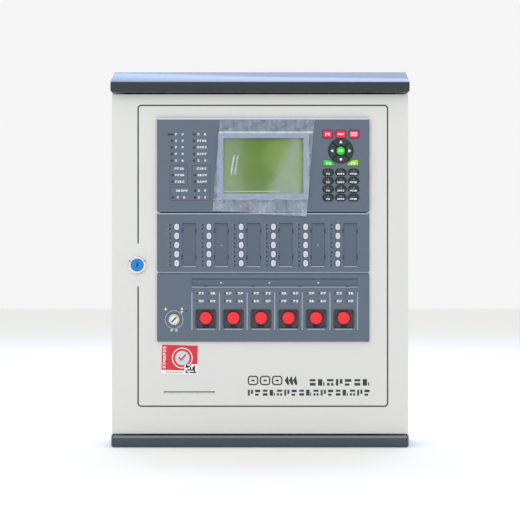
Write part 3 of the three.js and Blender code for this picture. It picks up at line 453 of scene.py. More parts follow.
def choose_edges(piece: Piece, wanted: Callable[[Vector, Vector], bool]) -> None:
    """Enter edit mode with just the edges selected whose two ends pass a test.

    Args:
        piece: the piece to work on.
        wanted: test of an edge's two ends.
    """
    choose(piece, "EDGE", lambda edge: wanted(*(piece.data.vertices[end].co for end in edge.vertices)))


def choose_faces(piece: Piece, wanted: Callable[[Vector, Vector], bool]) -> None:
    """Enter edit mode with just the faces selected whose centre and normal pass a test.

    Args:
        piece: the piece to work on.
        wanted: test of a face's centre and normal.
    """
    choose(piece, "FACE", lambda face: wanted(face.center, face.normal))


def bevel_chosen(offset: float, segments: int) -> None:
    """Round the chosen edges by an offset in mm and return to object mode."""
    bpy.ops.mesh.bevel(offset=mm(offset), segments=segments, affect="EDGES", clamp_overlap=True)
    bpy.ops.object.mode_set(mode="OBJECT")


def block(
    name: str, xs: Span, ys: Span, zs: Span, corner: float = 0.0, edge: float = 0.0, steps: int = 3
) -> Piece:
    """A block with rounded corners in front view and a softened front rim.

    Args:
        name: the piece's name.
        xs: low and high x in mm.
        ys: low and high y in mm; the low one is the front.
        zs: low and high z in mm.
        corner: corner radius in front view, in mm.
        edge: radius of the front rim, in mm.
        steps: segments of each rounding.

    Returns:
        The piece.
    """
    deselect()
    centre = [mm(sum(span) / 2) for span in (xs, ys, zs)]
    bpy.ops.mesh.primitive_cube_add(size=1, location=centre)
    bpy.context.object.scale = [mm(span[1] - span[0]) for span in (xs, ys, zs)]
    piece = settle(name)
    if corner:
        choose_edges(piece, lambda a, b: abs(a.y - b.y) > HAIR)
        bevel_chosen(corner, steps)
    if edge:
        front = mm(ys[0]) + HAIR
        choose_edges(piece, lambda a, b: a.y < front and b.y < front)
        bevel_chosen(edge, 2)
    return piece


def lay_point(x: float, y: float, z: float) -> None:
    """Start a mesh as one selected point in edit mode, ready to be extruded.

    Args:
        x: place in mm.
        y: place in mm.
        z: place in mm.
    """
    deselect()
    bpy.ops.mesh.primitive_plane_add(size=mm(1), location=(mm(x), mm(y), mm(z)))
    bpy.ops.object.mode_set(mode="EDIT")
    bpy.ops.mesh.select_mode(type="VERT")
    bpy.ops.mesh.select_all(action="SELECT")
    bpy.ops.mesh.merge(type="CENTER")


def turned(name: str, profile: Sequence[Span], x: float, z: float, steps: int = 40) -> Piece:
    """A piece turned on an axis along Y.

    Args:
        name: the piece's name.
        profile: radius and y in mm, point by point; it starts and ends on the axis or on itself.
        x: the axis's x in mm.
        z: the axis's z in mm.
        steps: segments round the turn.

    Returns:
        The piece.
    """
    radius, y = profile[0]
    lay_point(x + radius, y, z)
    for next_radius, next_y in profile[1:]:
        step = (mm(next_radius - radius), mm(next_y - y), 0.0)
        bpy.ops.mesh.extrude_region_move(TRANSFORM_OT_translate={"value": step})
        radius, y = next_radius, next_y
    bpy.ops.mesh.select_all(action="SELECT")
    bpy.ops.mesh.spin(steps=steps, angle=math.tau, center=(mm(x), 0.0, mm(z)), axis=(0.0, 1.0, 0.0))
    bpy.ops.mesh.select_all(action="SELECT")
    bpy.ops.mesh.remove_doubles(threshold=mm(0.002))
    bpy.ops.mesh.normals_make_consistent(inside=False)
    bpy.ops.object.mode_set(mode="OBJECT")
    return settle(name)


def outline_plate(name: str, points: Sequence[Span], near: float, far: float, edge: float = 0.0) -> Piece:
    """A flat plate with a free front-view outline.

    Args:
        name: the piece's name.
        points: x and z in mm round the outline.
        near: y of the front face in mm.
        far: y of the back face in mm.
        edge: radius of the front rim in mm.

    Returns:
        The piece.
    """
    x, z = points[0]
    lay_point(x, near, z)
    for next_x, next_z in points[1:]:
        step = (mm(next_x - x), 0.0, mm(next_z - z))
        bpy.ops.mesh.extrude_region_move(TRANSFORM_OT_translate={"value": step})
        x, z = next_x, next_z
    bpy.ops.mesh.select_all(action="SELECT")
    bpy.ops.mesh.edge_face_add()
    bpy.ops.mesh.extrude_region_move(TRANSFORM_OT_translate={"value": (0.0, mm(far - near), 0.0)})
    bpy.ops.mesh.select_all(action="SELECT")
    bpy.ops.mesh.normals_make_consistent(inside=False)
    bpy.ops.object.mode_set(mode="OBJECT")
    piece = settle(name)
    if edge:
        front = mm(near) + HAIR
        choose_edges(piece, lambda a, b: a.y < front and b.y < front)
        bevel_chosen(edge, 2)
    return piece


def hollow(piece: Piece, wall: float, depth: float) -> Piece:
    """Sink the front face of a block inside a wall.

    Args:
        piece: the block to hollow.
        wall: wall thickness in mm.
        depth: depth of the hollow in mm.

    Returns:
        The same piece.
    """
    front = min(v.co.y for v in piece.data.vertices) + HAIR
    choose_faces(piece, lambda centre, normal: centre.y < front and normal.y < -0.9)
    bpy.ops.mesh.inset(thickness=mm(wall), depth=0.0)
    bpy.ops.mesh.extrude_region_move(TRANSFORM_OT_translate={"value": (0.0, mm(depth), 0.0)})
    bpy.ops.object.mode_set(mode="OBJECT")
    return piece


def copied(source: Piece, name: str, dx: float = 0.0, dz: float = 0.0, dy: float = 0.0) -> Piece:
    """A copy with its own mesh, shifted in its mesh.

    Args:
        source: the modelled piece.
        name: name of the copy.
        dx: shift along x in mm.
        dz: shift along z in mm.
        dy: shift along y in mm.

    Returns:
        The copy.
    """
    copy = source.copy()
    copy.data = source.data.copy()
    copy.name = name
    copy.data.name = name
    for vertex in copy.data.vertices:
        vertex.co += Vector((mm(dx), mm(dy), mm(dz)))
    bpy.context.scene.collection.objects.link(copy)
    return copy


def joined(name: str, pieces: Sequence[Piece]) -> Piece:
    """Several pieces made one object.

    Args:
        name: the joined piece's name.
        pieces: what to join; the first one lives on.

    Returns:
        The joined piece.
    """
    deselect()
    for piece in pieces:
        piece.select_set(True)
    bpy.context.view_layer.objects.active = pieces[0]
    if len(pieces) > 1:
        bpy.ops.object.join()
    return settle(name)


def discard(*pieces: Piece) -> None:
    """Remove patterns that were only there to be copied."""
    for piece in pieces:
        bpy.data.objects.remove(piece)


def smooth(piece: Piece, degrees: float = 35.0) -> Piece:
    """Shade a piece smooth up to an angle and return it.

    Args:
        piece: the piece to shade.
        degrees: edges sharper than this stay hard.

    Returns:
        The same piece.
    """
    activate(piece)
    bpy.ops.object.shade_smooth_by_angle(angle=math.radians(degrees))
    return piece


def fit_out(piece: Piece, finish: Finish, body: str, slot: str, *nodes: str) -> Piece:
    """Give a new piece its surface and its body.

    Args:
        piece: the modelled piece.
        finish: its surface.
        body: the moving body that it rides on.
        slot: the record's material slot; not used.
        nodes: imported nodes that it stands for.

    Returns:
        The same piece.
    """
    piece.data.materials.clear()
    piece.data.materials.append(surface(finish))
    smooth(piece)
    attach(piece, body)
    if nodes:
        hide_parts(*nodes)
    LOG.info("made %s on %s", piece.name, body)
    return piece


def repeated(
    pattern: Piece, name: str, places: Iterable[Span], finish: Finish, body: str, slot: str, dy: float = 0.0
) -> Piece:
    """Copy a pattern to each place, join the copies into one piece and fit it out.

    Args:
        pattern: the piece to copy; it is used up.
        name: name of the joined piece.
        places: x and z shift of each copy, in mm.
        finish: its surface.
        body: the moving body that it rides on.
        slot: the record's material slot.
        dy: shift of all copies along Y, in mm.

    Returns:
        The joined piece.
    """
    copies = [copied(pattern, name, x, z, dy) for x, z in places]
    discard(pattern)
    return fit_out(joined(name, copies), finish, body, slot)


def dress(node: str, finish: Finish, rounding: float = 0.0) -> Piece:
    """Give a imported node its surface, and soften its sharp edges with live modifiers.

    Args:
        node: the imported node.
        finish: its surface.
        rounding: edge radius in mm; 0 leaves the edges sharp.

    Returns:
        The node's object.
    """
    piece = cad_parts[node]
    piece.data.materials.clear()
    piece.data.materials.append(surface(finish))
    if rounding:
        weld = piece.modifiers.new("weld", "WELD")
        weld.merge_threshold = mm(0.002)
        flat = piece.modifiers.new("flat", "DECIMATE")
        flat.decimate_type = "DISSOLVE"
        flat.angle_limit = math.radians(0.5)
        bevel = piece.modifiers.new("bevel", "BEVEL")
        bevel.width = mm(rounding)
        bevel.segments = 2
        bevel.limit_method = "ANGLE"
        bevel.angle_limit = math.radians(40)
        bevel.harden_normals = True
    smooth(piece)
    LOG.info("dressed %s", node)
    return piece


# ---------------------------------------------------------------- printed marks
# Plain block figures in a unit square: each block is left, right, bottom, top. They stand where
# printed labels are, and carry no words.
FIGURES: tuple[tuple[tuple[float, float, float, float], ...], ...] = (
    ((0.0, 1.0, 0.58, 1.0), (0.0, 0.7, 0.0, 0.34)),
    ((0.0, 0.38, 0.0, 1.0), (0.6, 1.0, 0.3, 1.0)),
    ((0.0, 1.0, 0.66, 1.0), (0.0, 0.4, 0.0, 0.42), (0.62, 1.0, 0.0, 0.42)),
    ((0.0, 0.66, 0.0, 1.0), (0.8, 1.0, 0.0, 0.5)),
    ((0.1, 1.0, 0.0, 0.42), (0.1, 1.0, 0.66, 1.0)),
)


@dataclass
class MarkPrinter:
    """Prints rows of abstract figures on a flat front.

    Args:
        face: y of the printed face in mm.
        finish: the ink.
        thickness: ink thickness in mm, drawn thicker than real so that it shows.
    """

    face: float
    finish: Finish
    thickness: float = 0.06
    figures: list[Piece] = field(default_factory=list)
    placed: list[Piece] = field(default_factory=list)

    def ys(self) -> Span:
        """Front and back of the ink in mm."""
        return (self.face - self.thickness, self.face + EMBED)

    def cut_figures(self, width: float, height: float) -> list[Piece]:
        """Model each figure once at the origin, at one size.

        Args:
            width: figure width in mm.
            height: figure height in mm.

        Returns:
            One pattern piece for each figure.
        """
        made = []
        for number, strokes in enumerate(FIGURES):
            bars = [
                block(f"stroke_{i}", (left * width, right * width), self.ys(), (low * height, high * height))
                for i, (left, right, low, high) in enumerate(strokes)
            ]
            made.append(joined(f"figure_{number}", bars))
        return made

    def row(
        self, rows: Iterable[tuple[float, float, int]], width: float, height: float, pitch: float
    ) -> None:
        """Print several rows of figures of one size.

        Args:
            rows: left x, bottom z and number of figures for each row, in mm.
            width: figure width in mm.
            height: figure height in mm.
            pitch: distance from one figure to the next in mm.
        """
        patterns = self.cut_figures(width, height)
        count = len(self.placed)
        for left, low, number in rows:
            for i in range(number):
                pattern = patterns[(count + 3 * i) % len(patterns)]
                self.placed.append(copied(pattern, f"mark_{count}", left + i * pitch, low))
                count += 1
        discard(*patterns)

    def bar(self, xs: Span, zs: Span, corner: float = 0.0) -> None:
        """Print one plain bar."""
        self.placed.append(block("bar", xs, self.ys(), zs, corner))

    def ring(self, x: float, z: float, radius: float, width: float) -> None:
        """Print one round line of a mean radius and a width in mm.

        Args:
            x: centre, in mm.
            z: centre, in mm.
            radius: mean radius in mm.
            width: width of the line in mm.
        """
        near, far = self.ys()
        inner, outer = radius - width / 2, radius + width / 2
        profile = [(inner, near), (outer, near), (outer, far), (inner, far), (inner, near)]
        self.placed.append(turned("ring", profile, x, z, 48))

    def frame(self, xs: Span, zs: Span, corner: float, width: float) -> None:
        """Print one rounded rectangular line, in mm.

        Args:
            xs: left and right of the outline, in mm.
            zs: bottom and top of the outline, in mm.
            corner: outer corner radius in mm.
            width: width of the line in mm.
        """
        plate = block("frame", xs, self.ys(), zs, corner)
        front = mm(self.ys()[0]) + HAIR
        choose_faces(plate, lambda centre, normal: centre.y < front and normal.y < -0.9)
        bpy.ops.mesh.inset(thickness=mm(width), depth=0.0)
        bpy.ops.mesh.delete(type="FACE")
        bpy.ops.object.mode_set(mode="OBJECT")
        back = mm(self.ys()[1]) - HAIR
        choose_faces(plate, lambda centre, normal: centre.y > back and normal.y > 0.9)
        bpy.ops.mesh.inset(thickness=mm(width), depth=0.0)
        bpy.ops.mesh.delete(type="FACE")
        bpy.ops.mesh.select_mode(type="EDGE")
        bpy.ops.mesh.select_all(action="DESELECT")
        bpy.ops.mesh.select_non_manifold()
        bpy.ops.mesh.bridge_edge_loops()
        bpy.ops.object.mode_set(mode="OBJECT")
        self.placed.append(plate)

    def finish_as(self, name: str, body: str, slot: str = "label_print") -> Piece:
        """Join what was printed into one piece.

        Args:
            name: the piece's name.
            body: the body that it rides on.
            slot: the record's material slot.

        Returns:
            The printed piece.
        """
        return fit_out(joined(name, self.placed), self.finish, body, slot)


def lamp(name: str, x: float, z: float, face: float, radius: float = 1.3, rise: float = 0.35) -> Piece:
    """A small domed lamp lens standing in a front.

    Args:
        name: the piece's name.
        x: centre x in mm.
        z: centre z in mm.
        face: y of the front that it stands in, in mm.
        radius: lens radius in mm.
        rise: how far the dome stands out, in mm.

    Returns:
        The piece, not yet fitted out.
    """
    arc = [
        (
            radius * math.sin(math.radians(a)), face - rise * math.cos(math.radians(a))
        ) for a in range(0, 91, 30)
    ]
    return turned(name, [*arc, (radius, face + EMBED), (0.0, face + EMBED)], x, z, 12)


# ---------------------------------------------------------------- cabinet and door
@dataclass
class Cabinet:
    """Steel shell: back box, roof cap, base strip, hinge pins and cable grommet."""

    edge: float = 0.5

    def build(self) -> None:
        """Dress the shell, paint the shade under the roof and paint the highlight on the base's upper edge.
        """
        dress("back_box", Finishes.light_powder)
        dress("top_cap", Finishes.slate_powder, self.edge)
        dress("base_trim", Finishes.slate_base, self.edge)
        # Painted highlight along the base's upper edge, where its bevel catches the light.
        low, high = box_mm("base_trim")
        edge_highlight = MarkPrinter(low.y + 0.02, Finishes.slate_edge_highlight, 0.03)
        edge_highlight.bar((low.x + 2, high.x - 2), (high.z - 3.4, high.z - 0.9), 0.6)
        edge_highlight.finish_as("base_edge_highlight", "cabinet", "slate_paint")
        dress("upper_pivot_pin", Finishes.zinc)
        dress("lower_pivot_pin", Finishes.zinc)
        dress("cable_grommet", Finishes.rubber, 0.3)
        self.shade_under_roof()

    def shade_under_roof(self) -> None:
        """Model a dark rubber strip along the box's top ledge, under the roof cap: painted shade under the
        cap's overhang.
        """
        low, high = box_mm("back_box")
        ledge = low.y + 1.5
        strip = block(
            "roof_shade_strip", (low.x + 14, high.x - 14), (ledge, ledge + 3), (high.z - 5, high.z - 1.8), 1.0, 0.6
        )
        fit_out(strip, Finishes.rubber, "cabinet", "dark_rubber")


def screw(name: str, x: float, z: float, face: float, radius: float = 2.6) -> Piece:
    """A pan-head screw with a round recess, lying on a face that looks to the front.

    Args:
        name: the piece's name.
        x: centre x in mm.
        z: centre z in mm.
        face: y of the face under the head, in mm.
        radius: head radius in mm.

    Returns:
        The piece, not yet fitted out.
    """
    rise = radius * 0.55
    profile = [
        (0.0, face - rise * 0.55),
        (radius * 0.24, face - rise * 0.6),
        (radius * 0.3, face - rise),
        (radius * 0.7, face - rise * 0.86),
        (radius, face - rise * 0.25),
        (radius, face + EMBED),
        (0.0, face + EMBED),
    ]
    return turned(name, profile, x, z, 16)


@dataclass
class Door:
    """Folded steel door with its pressed line, its lock and its stickers.

    Args:
        line: width of the dark line in the pressed groove, in mm.
        corner: corner radius of the groove in mm.
        gap: half the length left plain beside the lock, in mm.
        left: x of the groove's left run, in mm.
        right: x of its right run, in mm.
        top: z of its top run, in mm.
        bottom: z of its bottom run, in mm.
        groove_floor: y of the floor of the groove, in mm.
    """

    line: float = 1.7
    corner: float = 4.8
    gap: float = 27.4
    left: float = -156.25
    right: float = 163.55
    top: float = 196.15
    bottom: float = -189.25
    groove_floor: float = -125.3

    def build(self) -> None:
        """Dress the door and build what is fixed on it."""
        dress("door_panel", Finishes.light_powder)
        self.groove_line()
        self.lock()
        self.emblem()
        self.marks()

    def groove_line(self) -> None:
        """Model the grey line of painted shade that lies in the pressed groove."""
        groove_shade = MarkPrinter(self.groove_floor, Finishes.groove_shade, 0.25)
        groove_shade.frame((self.left, self.right), (self.bottom, self.top), self.corner, self.line)
        ring = groove_shade.placed[0]
        lock = centre_mm("lock_barrel")
        for height in (lock.z - self.gap, lock.z + self.gap):
            edit_all(ring)
            bpy.ops.mesh.bisect(plane_co=(0, 0, mm(height)), plane_no=(0, 0, 1))
            bpy.ops.object.mode_set(mode="OBJECT")
        side, low, high = mm(self.left + 5), mm(lock.z - self.gap), mm(lock.z + self.gap)
        choose_faces(ring, lambda centre, normal: centre.x < side and low < centre.z < high)
        bpy.ops.mesh.delete(type="FACE")
        bpy.ops.mesh.select_mode(type="EDGE")
        bpy.ops.mesh.select_non_manifold()
        bpy.ops.mesh.fill()
        bpy.ops.object.mode_set(mode="OBJECT")
        groove_shade.finish_as("door_groove_shade", "door", "dark_rubber")

    def lock(self) -> None:
        """Dress the lock, round off its collar and add its two stop marks."""
        dress("lock_barrel", Finishes.nickel)
        dress("lock_plug", Finishes.abs_blue, 0.3)
        dress("lock_cam", Finishes.zinc, 0.2)
        centre = centre_mm("lock_barrel")
        face = box_mm("lock_barrel")[0].y
        arc = [(8.6 + 3.4 * math.sin(math.radians(a)), face - 0.25 + 2.4 * (1 - math.cos(math.radians(a))))
               for a in range(0, 91, 15)]
        profile = [(8.35, face + 0.35), (8.6, face - 0.25), *arc[1:], (12.0, -126.1), (8.35, -126.1)]
        ring = turned("lock_ring", [*profile, (8.35, face + 0.35)], centre.x, centre.z, 48)
        # The collar is nickel; its cream colour is a painted reflection of the bright room.
        fit_out(ring, Finishes.cream, "door", "bright_metal")
        stops = MarkPrinter(face - 0.1, Finishes.ink_dark, 0.25)
        for angle in (28, 152):
            x = centre.x + 10.6 * math.cos(math.radians(angle))
            z = centre.z + 10.6 * math.sin(math.radians(angle))
            stops.bar((x - 1.5, x + 1.5), (z - 0.6, z + 0.6), 0.5)
        stops.finish_as("lock_stop_marks", "door")

    def emblem(self) -> None:
        """Print the plain device at the lower right, of rounded squares and wedges, and its two rows."""
        face = box_mm("door_panel")[0].y
        ink = MarkPrinter(face, Finishes.ink_dark)
        for number in range(3):
            left = -15.6 + 15.4 * number
            ink.frame((left, left + 13.4), (-161.6, -149.4), 3.6, 1.7)
            ink.bar((left + 4.6, left + 8.8), (-156.6, -154.4), 0.6)
        for number in range(3):
            slant = [
                (31.5 + 5.2 * number, -155.5), (35.2 + 5.2 * number, -161.6), (37.4 + 5.2 * number, -160.6),
                (35.3 + 5.2 * number, -149.4)
            ]
            ink.placed.append(outline_plate(f"slant_{number}", slant, *ink.ys()))
        ink.row([(62.6, -162.1, 7)], 8.3, 8.3, 11.4)
        ink.row([(-15.6, -174.9, 17)], 6.6, 7.6, 9.3)
        ink.finish_as("door_marks", "door")

    def marks(self) -> None:
        """Build the inspection sticker: white paper, red field, white disc with a tick, dark grid."""
        dress("inspection_label", Finishes.sticker)
        low, high = box_mm("inspection_label")
        face = low.y - 0.02
        cx, cz = (low.x + high.x) / 2, (low.z + high.z) / 2
        w, h = 45.6, 37.0
        left, bottom = cx - w / 2, cz - h / 2
        top = bottom + h
        red = MarkPrinter(face, Finishes.ink_red)
        field = [(0, 0), (w, 0), (w, -23.8), (29.2, -23.8), (29.2, -32.2), (0, -32.2)]
        red.placed.append(outline_plate("field", [(left + x, top + z) for x, z in field], *red.ys()))
        white = MarkPrinter(face - 0.06, Finishes.ink_white)
        ring = (left + 26.2, top - 16.4)
        white.ring(*ring, 12.6, 1.1)
        disc = MarkPrinter(face - 0.06, Finishes.ink_mist)
        disc.ring(*ring, 4.6, 9.0)
        white.row([(left + 1.6, top - 5.4 - 4.1 * i, 1) for i in range(7)], 3.6, 3.0, 4)
        tick_points = [(-5.2, 0.4), (-1.6, -4.2), (5.4, 4.2), (3.9, 5.6), (-1.6, -1.0), (-3.7, 1.7)]
        points = [(ring[0] + x, ring[1] + z) for x, z in tick_points]
        red.placed.append(outline_plate("tick", points, face - 0.14, face))
        grey = MarkPrinter(face - 0.06, Finishes.ink_dark)
        draw = random.Random(3)
        for column in range(8):
            for row in range(7):
                if draw.random() < 0.6:
                    x, z = left + 31 + 1.7 * column, top - 25.6 - 1.6 * row
                    grey.bar((x, x + 1.7), (z, z + 1.6))
        grey.row([(left + 6, bottom + 1.6, 10)], 1.5, 0.9, 2.2)
        prints = (
            (red, "sticker_red_print"), (white, "sticker_white_print"), (grey, "sticker_dark_print"),
            (disc, "sticker_disc")
        )
        for printer, name in prints:
            piece = joined(name, printer.placed)
            edit_all(piece)
            centre = (mm(cx), mm(face), mm(cz))
            bpy.ops.transform.rotate(value=math.radians(-1.7), orient_axis="Y", center_override=centre)
            bpy.ops.object.mode_set(mode="OBJECT")
            fit_out(piece, printer.finish, "door", "label_print")


# ---------------------------------------------------------------- display
def smoothstep(value: float) -> float:
    """A smooth 0 to 1 ramp."""
    t = min(1.0, max(0.0, value))
    return t * t * (3 - 2 * t)


@dataclass
class Film:
    """The loose protective sheet that still lies over the display.

    Args:
        corners: x and z of its four corners in mm, clockwise from the upper left.
        divisions: mesh steps along each side.
        clearance: gap between the sheet and what it lies on, in mm.
    """

    corners: tuple[Span, ...] = ((-50.9, 176.4), (69.6, 176.4), (59.4, 53.9), (-60.6, 60.2))
    divisions: int = 150
    clearance: float = 0.25
    flat: Span = (120.5, 120.0)

    def build(self) -> Piece:
        """Make the sheet from a grid and lay it over the bezel.

        Returns:
            The finished sheet.
        """
        deselect()
        bpy.ops.mesh.primitive_grid_add(x_subdivisions=self.divisions, y_subdivisions=self.divisions, size=1)
        sheet = settle("protective_film")
        low, high = box_mm("lcd_bezel")
        haze_and_highlights = sheet.data.attributes.new("haze_and_highlights", "FLOAT", "POINT")
        for index, vertex in enumerate(sheet.data.vertices):
            x, z = self.place(vertex.co.x + 0.5, vertex.co.y + 0.5)
            haze_and_highlights.data[index].value = self.haze_and_highlights(x, z, low, high)
            vertex.co = Vector((mm(x), mm(self.depth(x, z, low, high)), mm(z)))
        sheet.modifiers.new("gauge", "SOLIDIFY").thickness = mm(0.06)
        sheet.data.materials.clear()
        sheet.data.materials.append(self.material())
        smooth(sheet, 60)
        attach(sheet, "door")
        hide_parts("display_film")
        LOG.info("laid the film")
        return sheet

    def place(self, u: float, v: float) -> Span:
        """Where a point of the flat sheet lies in front view, in mm.

        Args:
            u: share of the width from the left.
            v: share of the height from the bottom.

        Returns:
            Its x and z.
        """
        (ax, az), (bx, bz), (cx, cz), (dx, dz) = self.corners
        top = (ax + (bx - ax) * u, az + (bz - az) * u)
        bottom = (dx + (cx - dx) * u, dz + (cz - dz) * u)
        bow = 0.7 * math.sin(5.1 * u + 0.6) * (1 - v) + 0.5 * math.sin(7.3 * v) * (
            1 if u > 0.5 else -1
        ) * abs(2 * u - 1)
        return bottom[0] + (
            top[0] - bottom[0]
        ) * v + bow * 0.5, bottom[1] + (top[1] - bottom[1]) * v + bow * 0.6

    def outside(self, x: float, z: float, low: Vector, high: Vector) -> float:
        """Distance in mm outside the bezel's outline; negative inside."""
        return max(low.x - x, x - high.x, low.z - z, z - high.z)

    def depth(self, x: float, z: float, low: Vector, high: Vector) -> float:
        """The sheet's y in mm at a point in front view.

        Args:
            x: place, in mm.
            z: place, in mm.
            low: the bezel's lower corner.
            high: the bezel's upper corner.

        Returns:
            The place of the sheet along Y, in mm.
        """
        distance = self.outside(x, z, low, high)
        drop = 2.2 * smoothstep((distance - 0.3) / 7.0)
        sag = 0.35 * smoothstep((-distance - 8.0) / 14.0)
        ripple = math.sin(0.23 * x + 0.31 * z) + 0.6 * math.sin(0.61 * x - 0.17 * z + 1.3)
        ripple += 0.5 * math.sin(0.11 * x * math.sin(0.05 * z) + 0.9 * z * 0.4)
        loose = 0.05 + 0.16 * smoothstep(distance / 6.0)
        return low.y - self.clearance - 0.35 + drop + sag + loose * ripple * 0.6

    def haze_and_highlights(self, x: float, z: float, low: Vector, high: Vector) -> float:
        """How milky the sheet is at a point, 0 to 1, raised into painted highlights along its creases and
        folds and into two painted glints over the window.

        Args:
            x: place, in mm.
            z: place, in mm.
            low: the bezel's lower corner.
            high: the bezel's upper corner.

        Returns:
            0 for clear, up to 1 for milky film or a painted highlight.
        """
        distance = self.outside(x, z, low, high)
        value = 0.12 + 0.06 * math.sin(0.15 * x + 0.22 * z) * math.sin(0.34 * x - 0.09 * z)
        if distance < -7.0:
            value = 0.005
            slant = (x - 12.0) * 0.8 - (z - 110.0) * 0.35
            value += 0.12 * smoothstep(slant / 16.0) * smoothstep((56.0 - x) / 10.0)
            value += 0.03 * smoothstep((108.0 - z) / 18.0)
            value += 0.06 * smoothstep((-14.0 - x) / 16.0)
            # Two painted glints slanting across the window.
            for shift, strength in ((0.0, 0.75), (4.6, 0.5)):
                bend = x + 37.5 - shift - (z - 104.0) * 0.17 - 0.004 * (z - 120.0) ** 2
                value += strength * math.exp(-((bend / 0.75) ** 2)) * smoothstep(
                    (15.0 - abs(z - 119.0)) / 6.0
                )
        else:
            # Painted highlights along the bezel's edges and on loose folds, over the milky film.
            crease = math.exp(-(((z - high.z + 0.2) / 1.05) ** 2)) * smoothstep((distance + 3.0) / 1.5)
            value += 0.8 * crease * smoothstep((66.0 - abs(x - 4.0)) / 6.0)
            value += 0.34 * math.exp(-(((x - high.x + 0.4) / 0.7) ** 2)) * (0.55 + 0.45 * math.sin(0.21 * z))
            value += 0.22 * math.exp(-(((x - low.x + 0.3) / 0.6) ** 2)) * smoothstep((z - 70.0) / 6.0)
            value += 0.3 * math.exp(-(((z - low.z) / 0.7) ** 2)) * (0.6 + 0.4 * math.sin(0.19 * x))
            fold = math.sin(0.9 * x + 0.35 * z) * math.sin(0.13 * x - 0.4 * z)
            value += 0.2 * smoothstep((fold - 0.72) / 0.2) * smoothstep(distance / 3.0)
            value += 0.14 * smoothstep((low.z - z) / 6.0) * (0.5 + 0.5 * math.sin(0.12 * x + 1.1))
        return min(1.0, max(0.0, value))

    def material(self) -> bpy.types.Material:
        """Polythene film: clear where it lies flat, milky in its folds, glossy all over, its painted
        highlights and glints raising its alpha.

        Returns:
            The material.
        """
        material, shader = open_material(Finish("clear_polythene_film", "#D3DCEA", 0.16))
        tree = material.node_tree
        milk_and_highlights = add_node(tree, "ShaderNodeAttribute", {"attribute_name": "haze_and_highlights"}).outputs["Fac"]
        place = add_node(tree, "ShaderNodeTexCoord").outputs["Object"]
        crinkle = add_node(
            tree, "ShaderNodeTexNoise", {
                "Scale": 1 / mm(5), "Detail": 4.0, "Distortion": 1.2
            }, {"Vector": place}
        ).outputs["Fac"]
        spread = {"From Min": 0.3, "From Max": 0.7, "To Min": 0.75, "To Max": 1.25}
        patch = add_node(tree, "ShaderNodeMapRange", spread, {"Value": crinkle})
        alpha = add_node(
            tree, "ShaderNodeMath", {"operation": "MULTIPLY", "use_clamp": True}, {"Value": milk_and_highlights}
        )
        tree.links.new(patch.outputs["Result"], alpha.inputs[1])
        tree.links.new(alpha.outputs[0], shader.inputs["Alpha"])
        bump = add_node(tree, "ShaderNodeBump", {"Distance": mm(0.3)}, {"Height": crinkle, "Strength": milk_and_highlights})
        tree.links.new(bump.outputs["Normal"], shader.inputs["Normal"])
        return material


@dataclass
class Display:
    """Graphic display: bezel, clear window, green glass with painted highlights, and the film that lies over
    them.
    """

    highlight_height: float = 1.7

    def build(self) -> None:
        """Dress the display and add what shows on its glass."""
        dress("lcd_bezel", Finishes.bezel, 0.4)
        dress("lcd_window", Finishes.window)
        module = dress("lcd_module", Finishes.abs_black)
        module.data.materials.clear()
        module.data.materials.append(self.glass())
        self.glass_highlights()
        Film().build()

    def glass(self) -> bpy.types.Material:
        """Unlit yellow-green display glass: deeper in the middle and paler towards the sides; its faint glow
        is painted light.

        Returns:
            The material.
        """
        low, high = box_mm("lcd_module")
        # The glow is painted light on an unlit display.
        material, shader = open_material(Finish("yellow_green_display_glass", "#7A9A5C", 0.3, glow=0.12))
        tree = material.node_tree
        place = add_node(tree, "ShaderNodeTexCoord").outputs["Object"]
        axes = add_node(tree, "ShaderNodeSeparateXYZ", None, {"Vector": place})
        across = add_node(
            tree,
            "ShaderNodeMapRange",
            {"From Min": mm(low.x), "From Max": mm(high.x), "To Min": 0.0, "To Max": 1.0},
            {"Value": axes.outputs["X"]},
        )
        offset = add_node(
            tree, "ShaderNodeMath", {"operation": "SUBTRACT"}, {"Value": across.outputs["Result"]}
        )
        offset.inputs[1].default_value = 0.46
        away = add_node(tree, "ShaderNodeMath", {"operation": "ABSOLUTE"}, {"Value": offset.outputs[0]})
        cloud = add_node(tree, "ShaderNodeTexNoise", {"Scale": 1 / mm(45), "Detail": 1.0}, {"Vector": place})
        patches = add_node(tree, "ShaderNodeMath", {"operation": "SUBTRACT"}, {"Value": cloud.outputs["Fac"]})
        patches.inputs[1].default_value = 0.42
        share = add_node(tree, "ShaderNodeMath", {"operation": "MULTIPLY_ADD"}, {"Value": away.outputs[0]})
        share.inputs[1].default_value = 1.7
        tree.links.new(patches.outputs[0], share.inputs[2])
        share.use_clamp = True
        tint = add_node(tree, "ShaderNodeMix", {"data_type": "RGBA"})
        tint.inputs[6].default_value = srgb("#608213")
        tint.inputs[7].default_value = srgb("#9CBB62")
        shader.inputs["Specular IOR Level"].default_value = 0.15
        tree.links.new(share.outputs[0], tint.inputs[0])
        tree.links.new(tint.outputs[2], shader.inputs["Base Color"])
        return material

    def glass_highlights(self) -> None:
        """Model the painted highlights on the glass: a glowing green line at its foot and a warm one at its
        top.
        """
        face = box_mm("lcd_module")[0].y
        low, high = box_mm("lcd_bezel")
        sides = (low.x + 7.2, high.x - 7.2)
        foot, head = low.z + 10.4, high.z - 8.2
        foot_highlight = block("lcd_foot_highlight_line", (sides[0] + 0.5, sides[0] + 72), (face - 0.1, face + EMBED),
                      (foot - self.highlight_height / 2, foot + self.highlight_height / 2), 0.7)
        fit_out(foot_highlight, Finishes.lcd_foot_highlight, "door", "lcd_green")
        strip = block("lcd_top_highlight_line", sides, (face - 0.1, face + EMBED), (head - 0.5, head + 0.6), 0.2)
        fit_out(strip, Finishes.lcd_top_highlight, "door", "lcd_green")


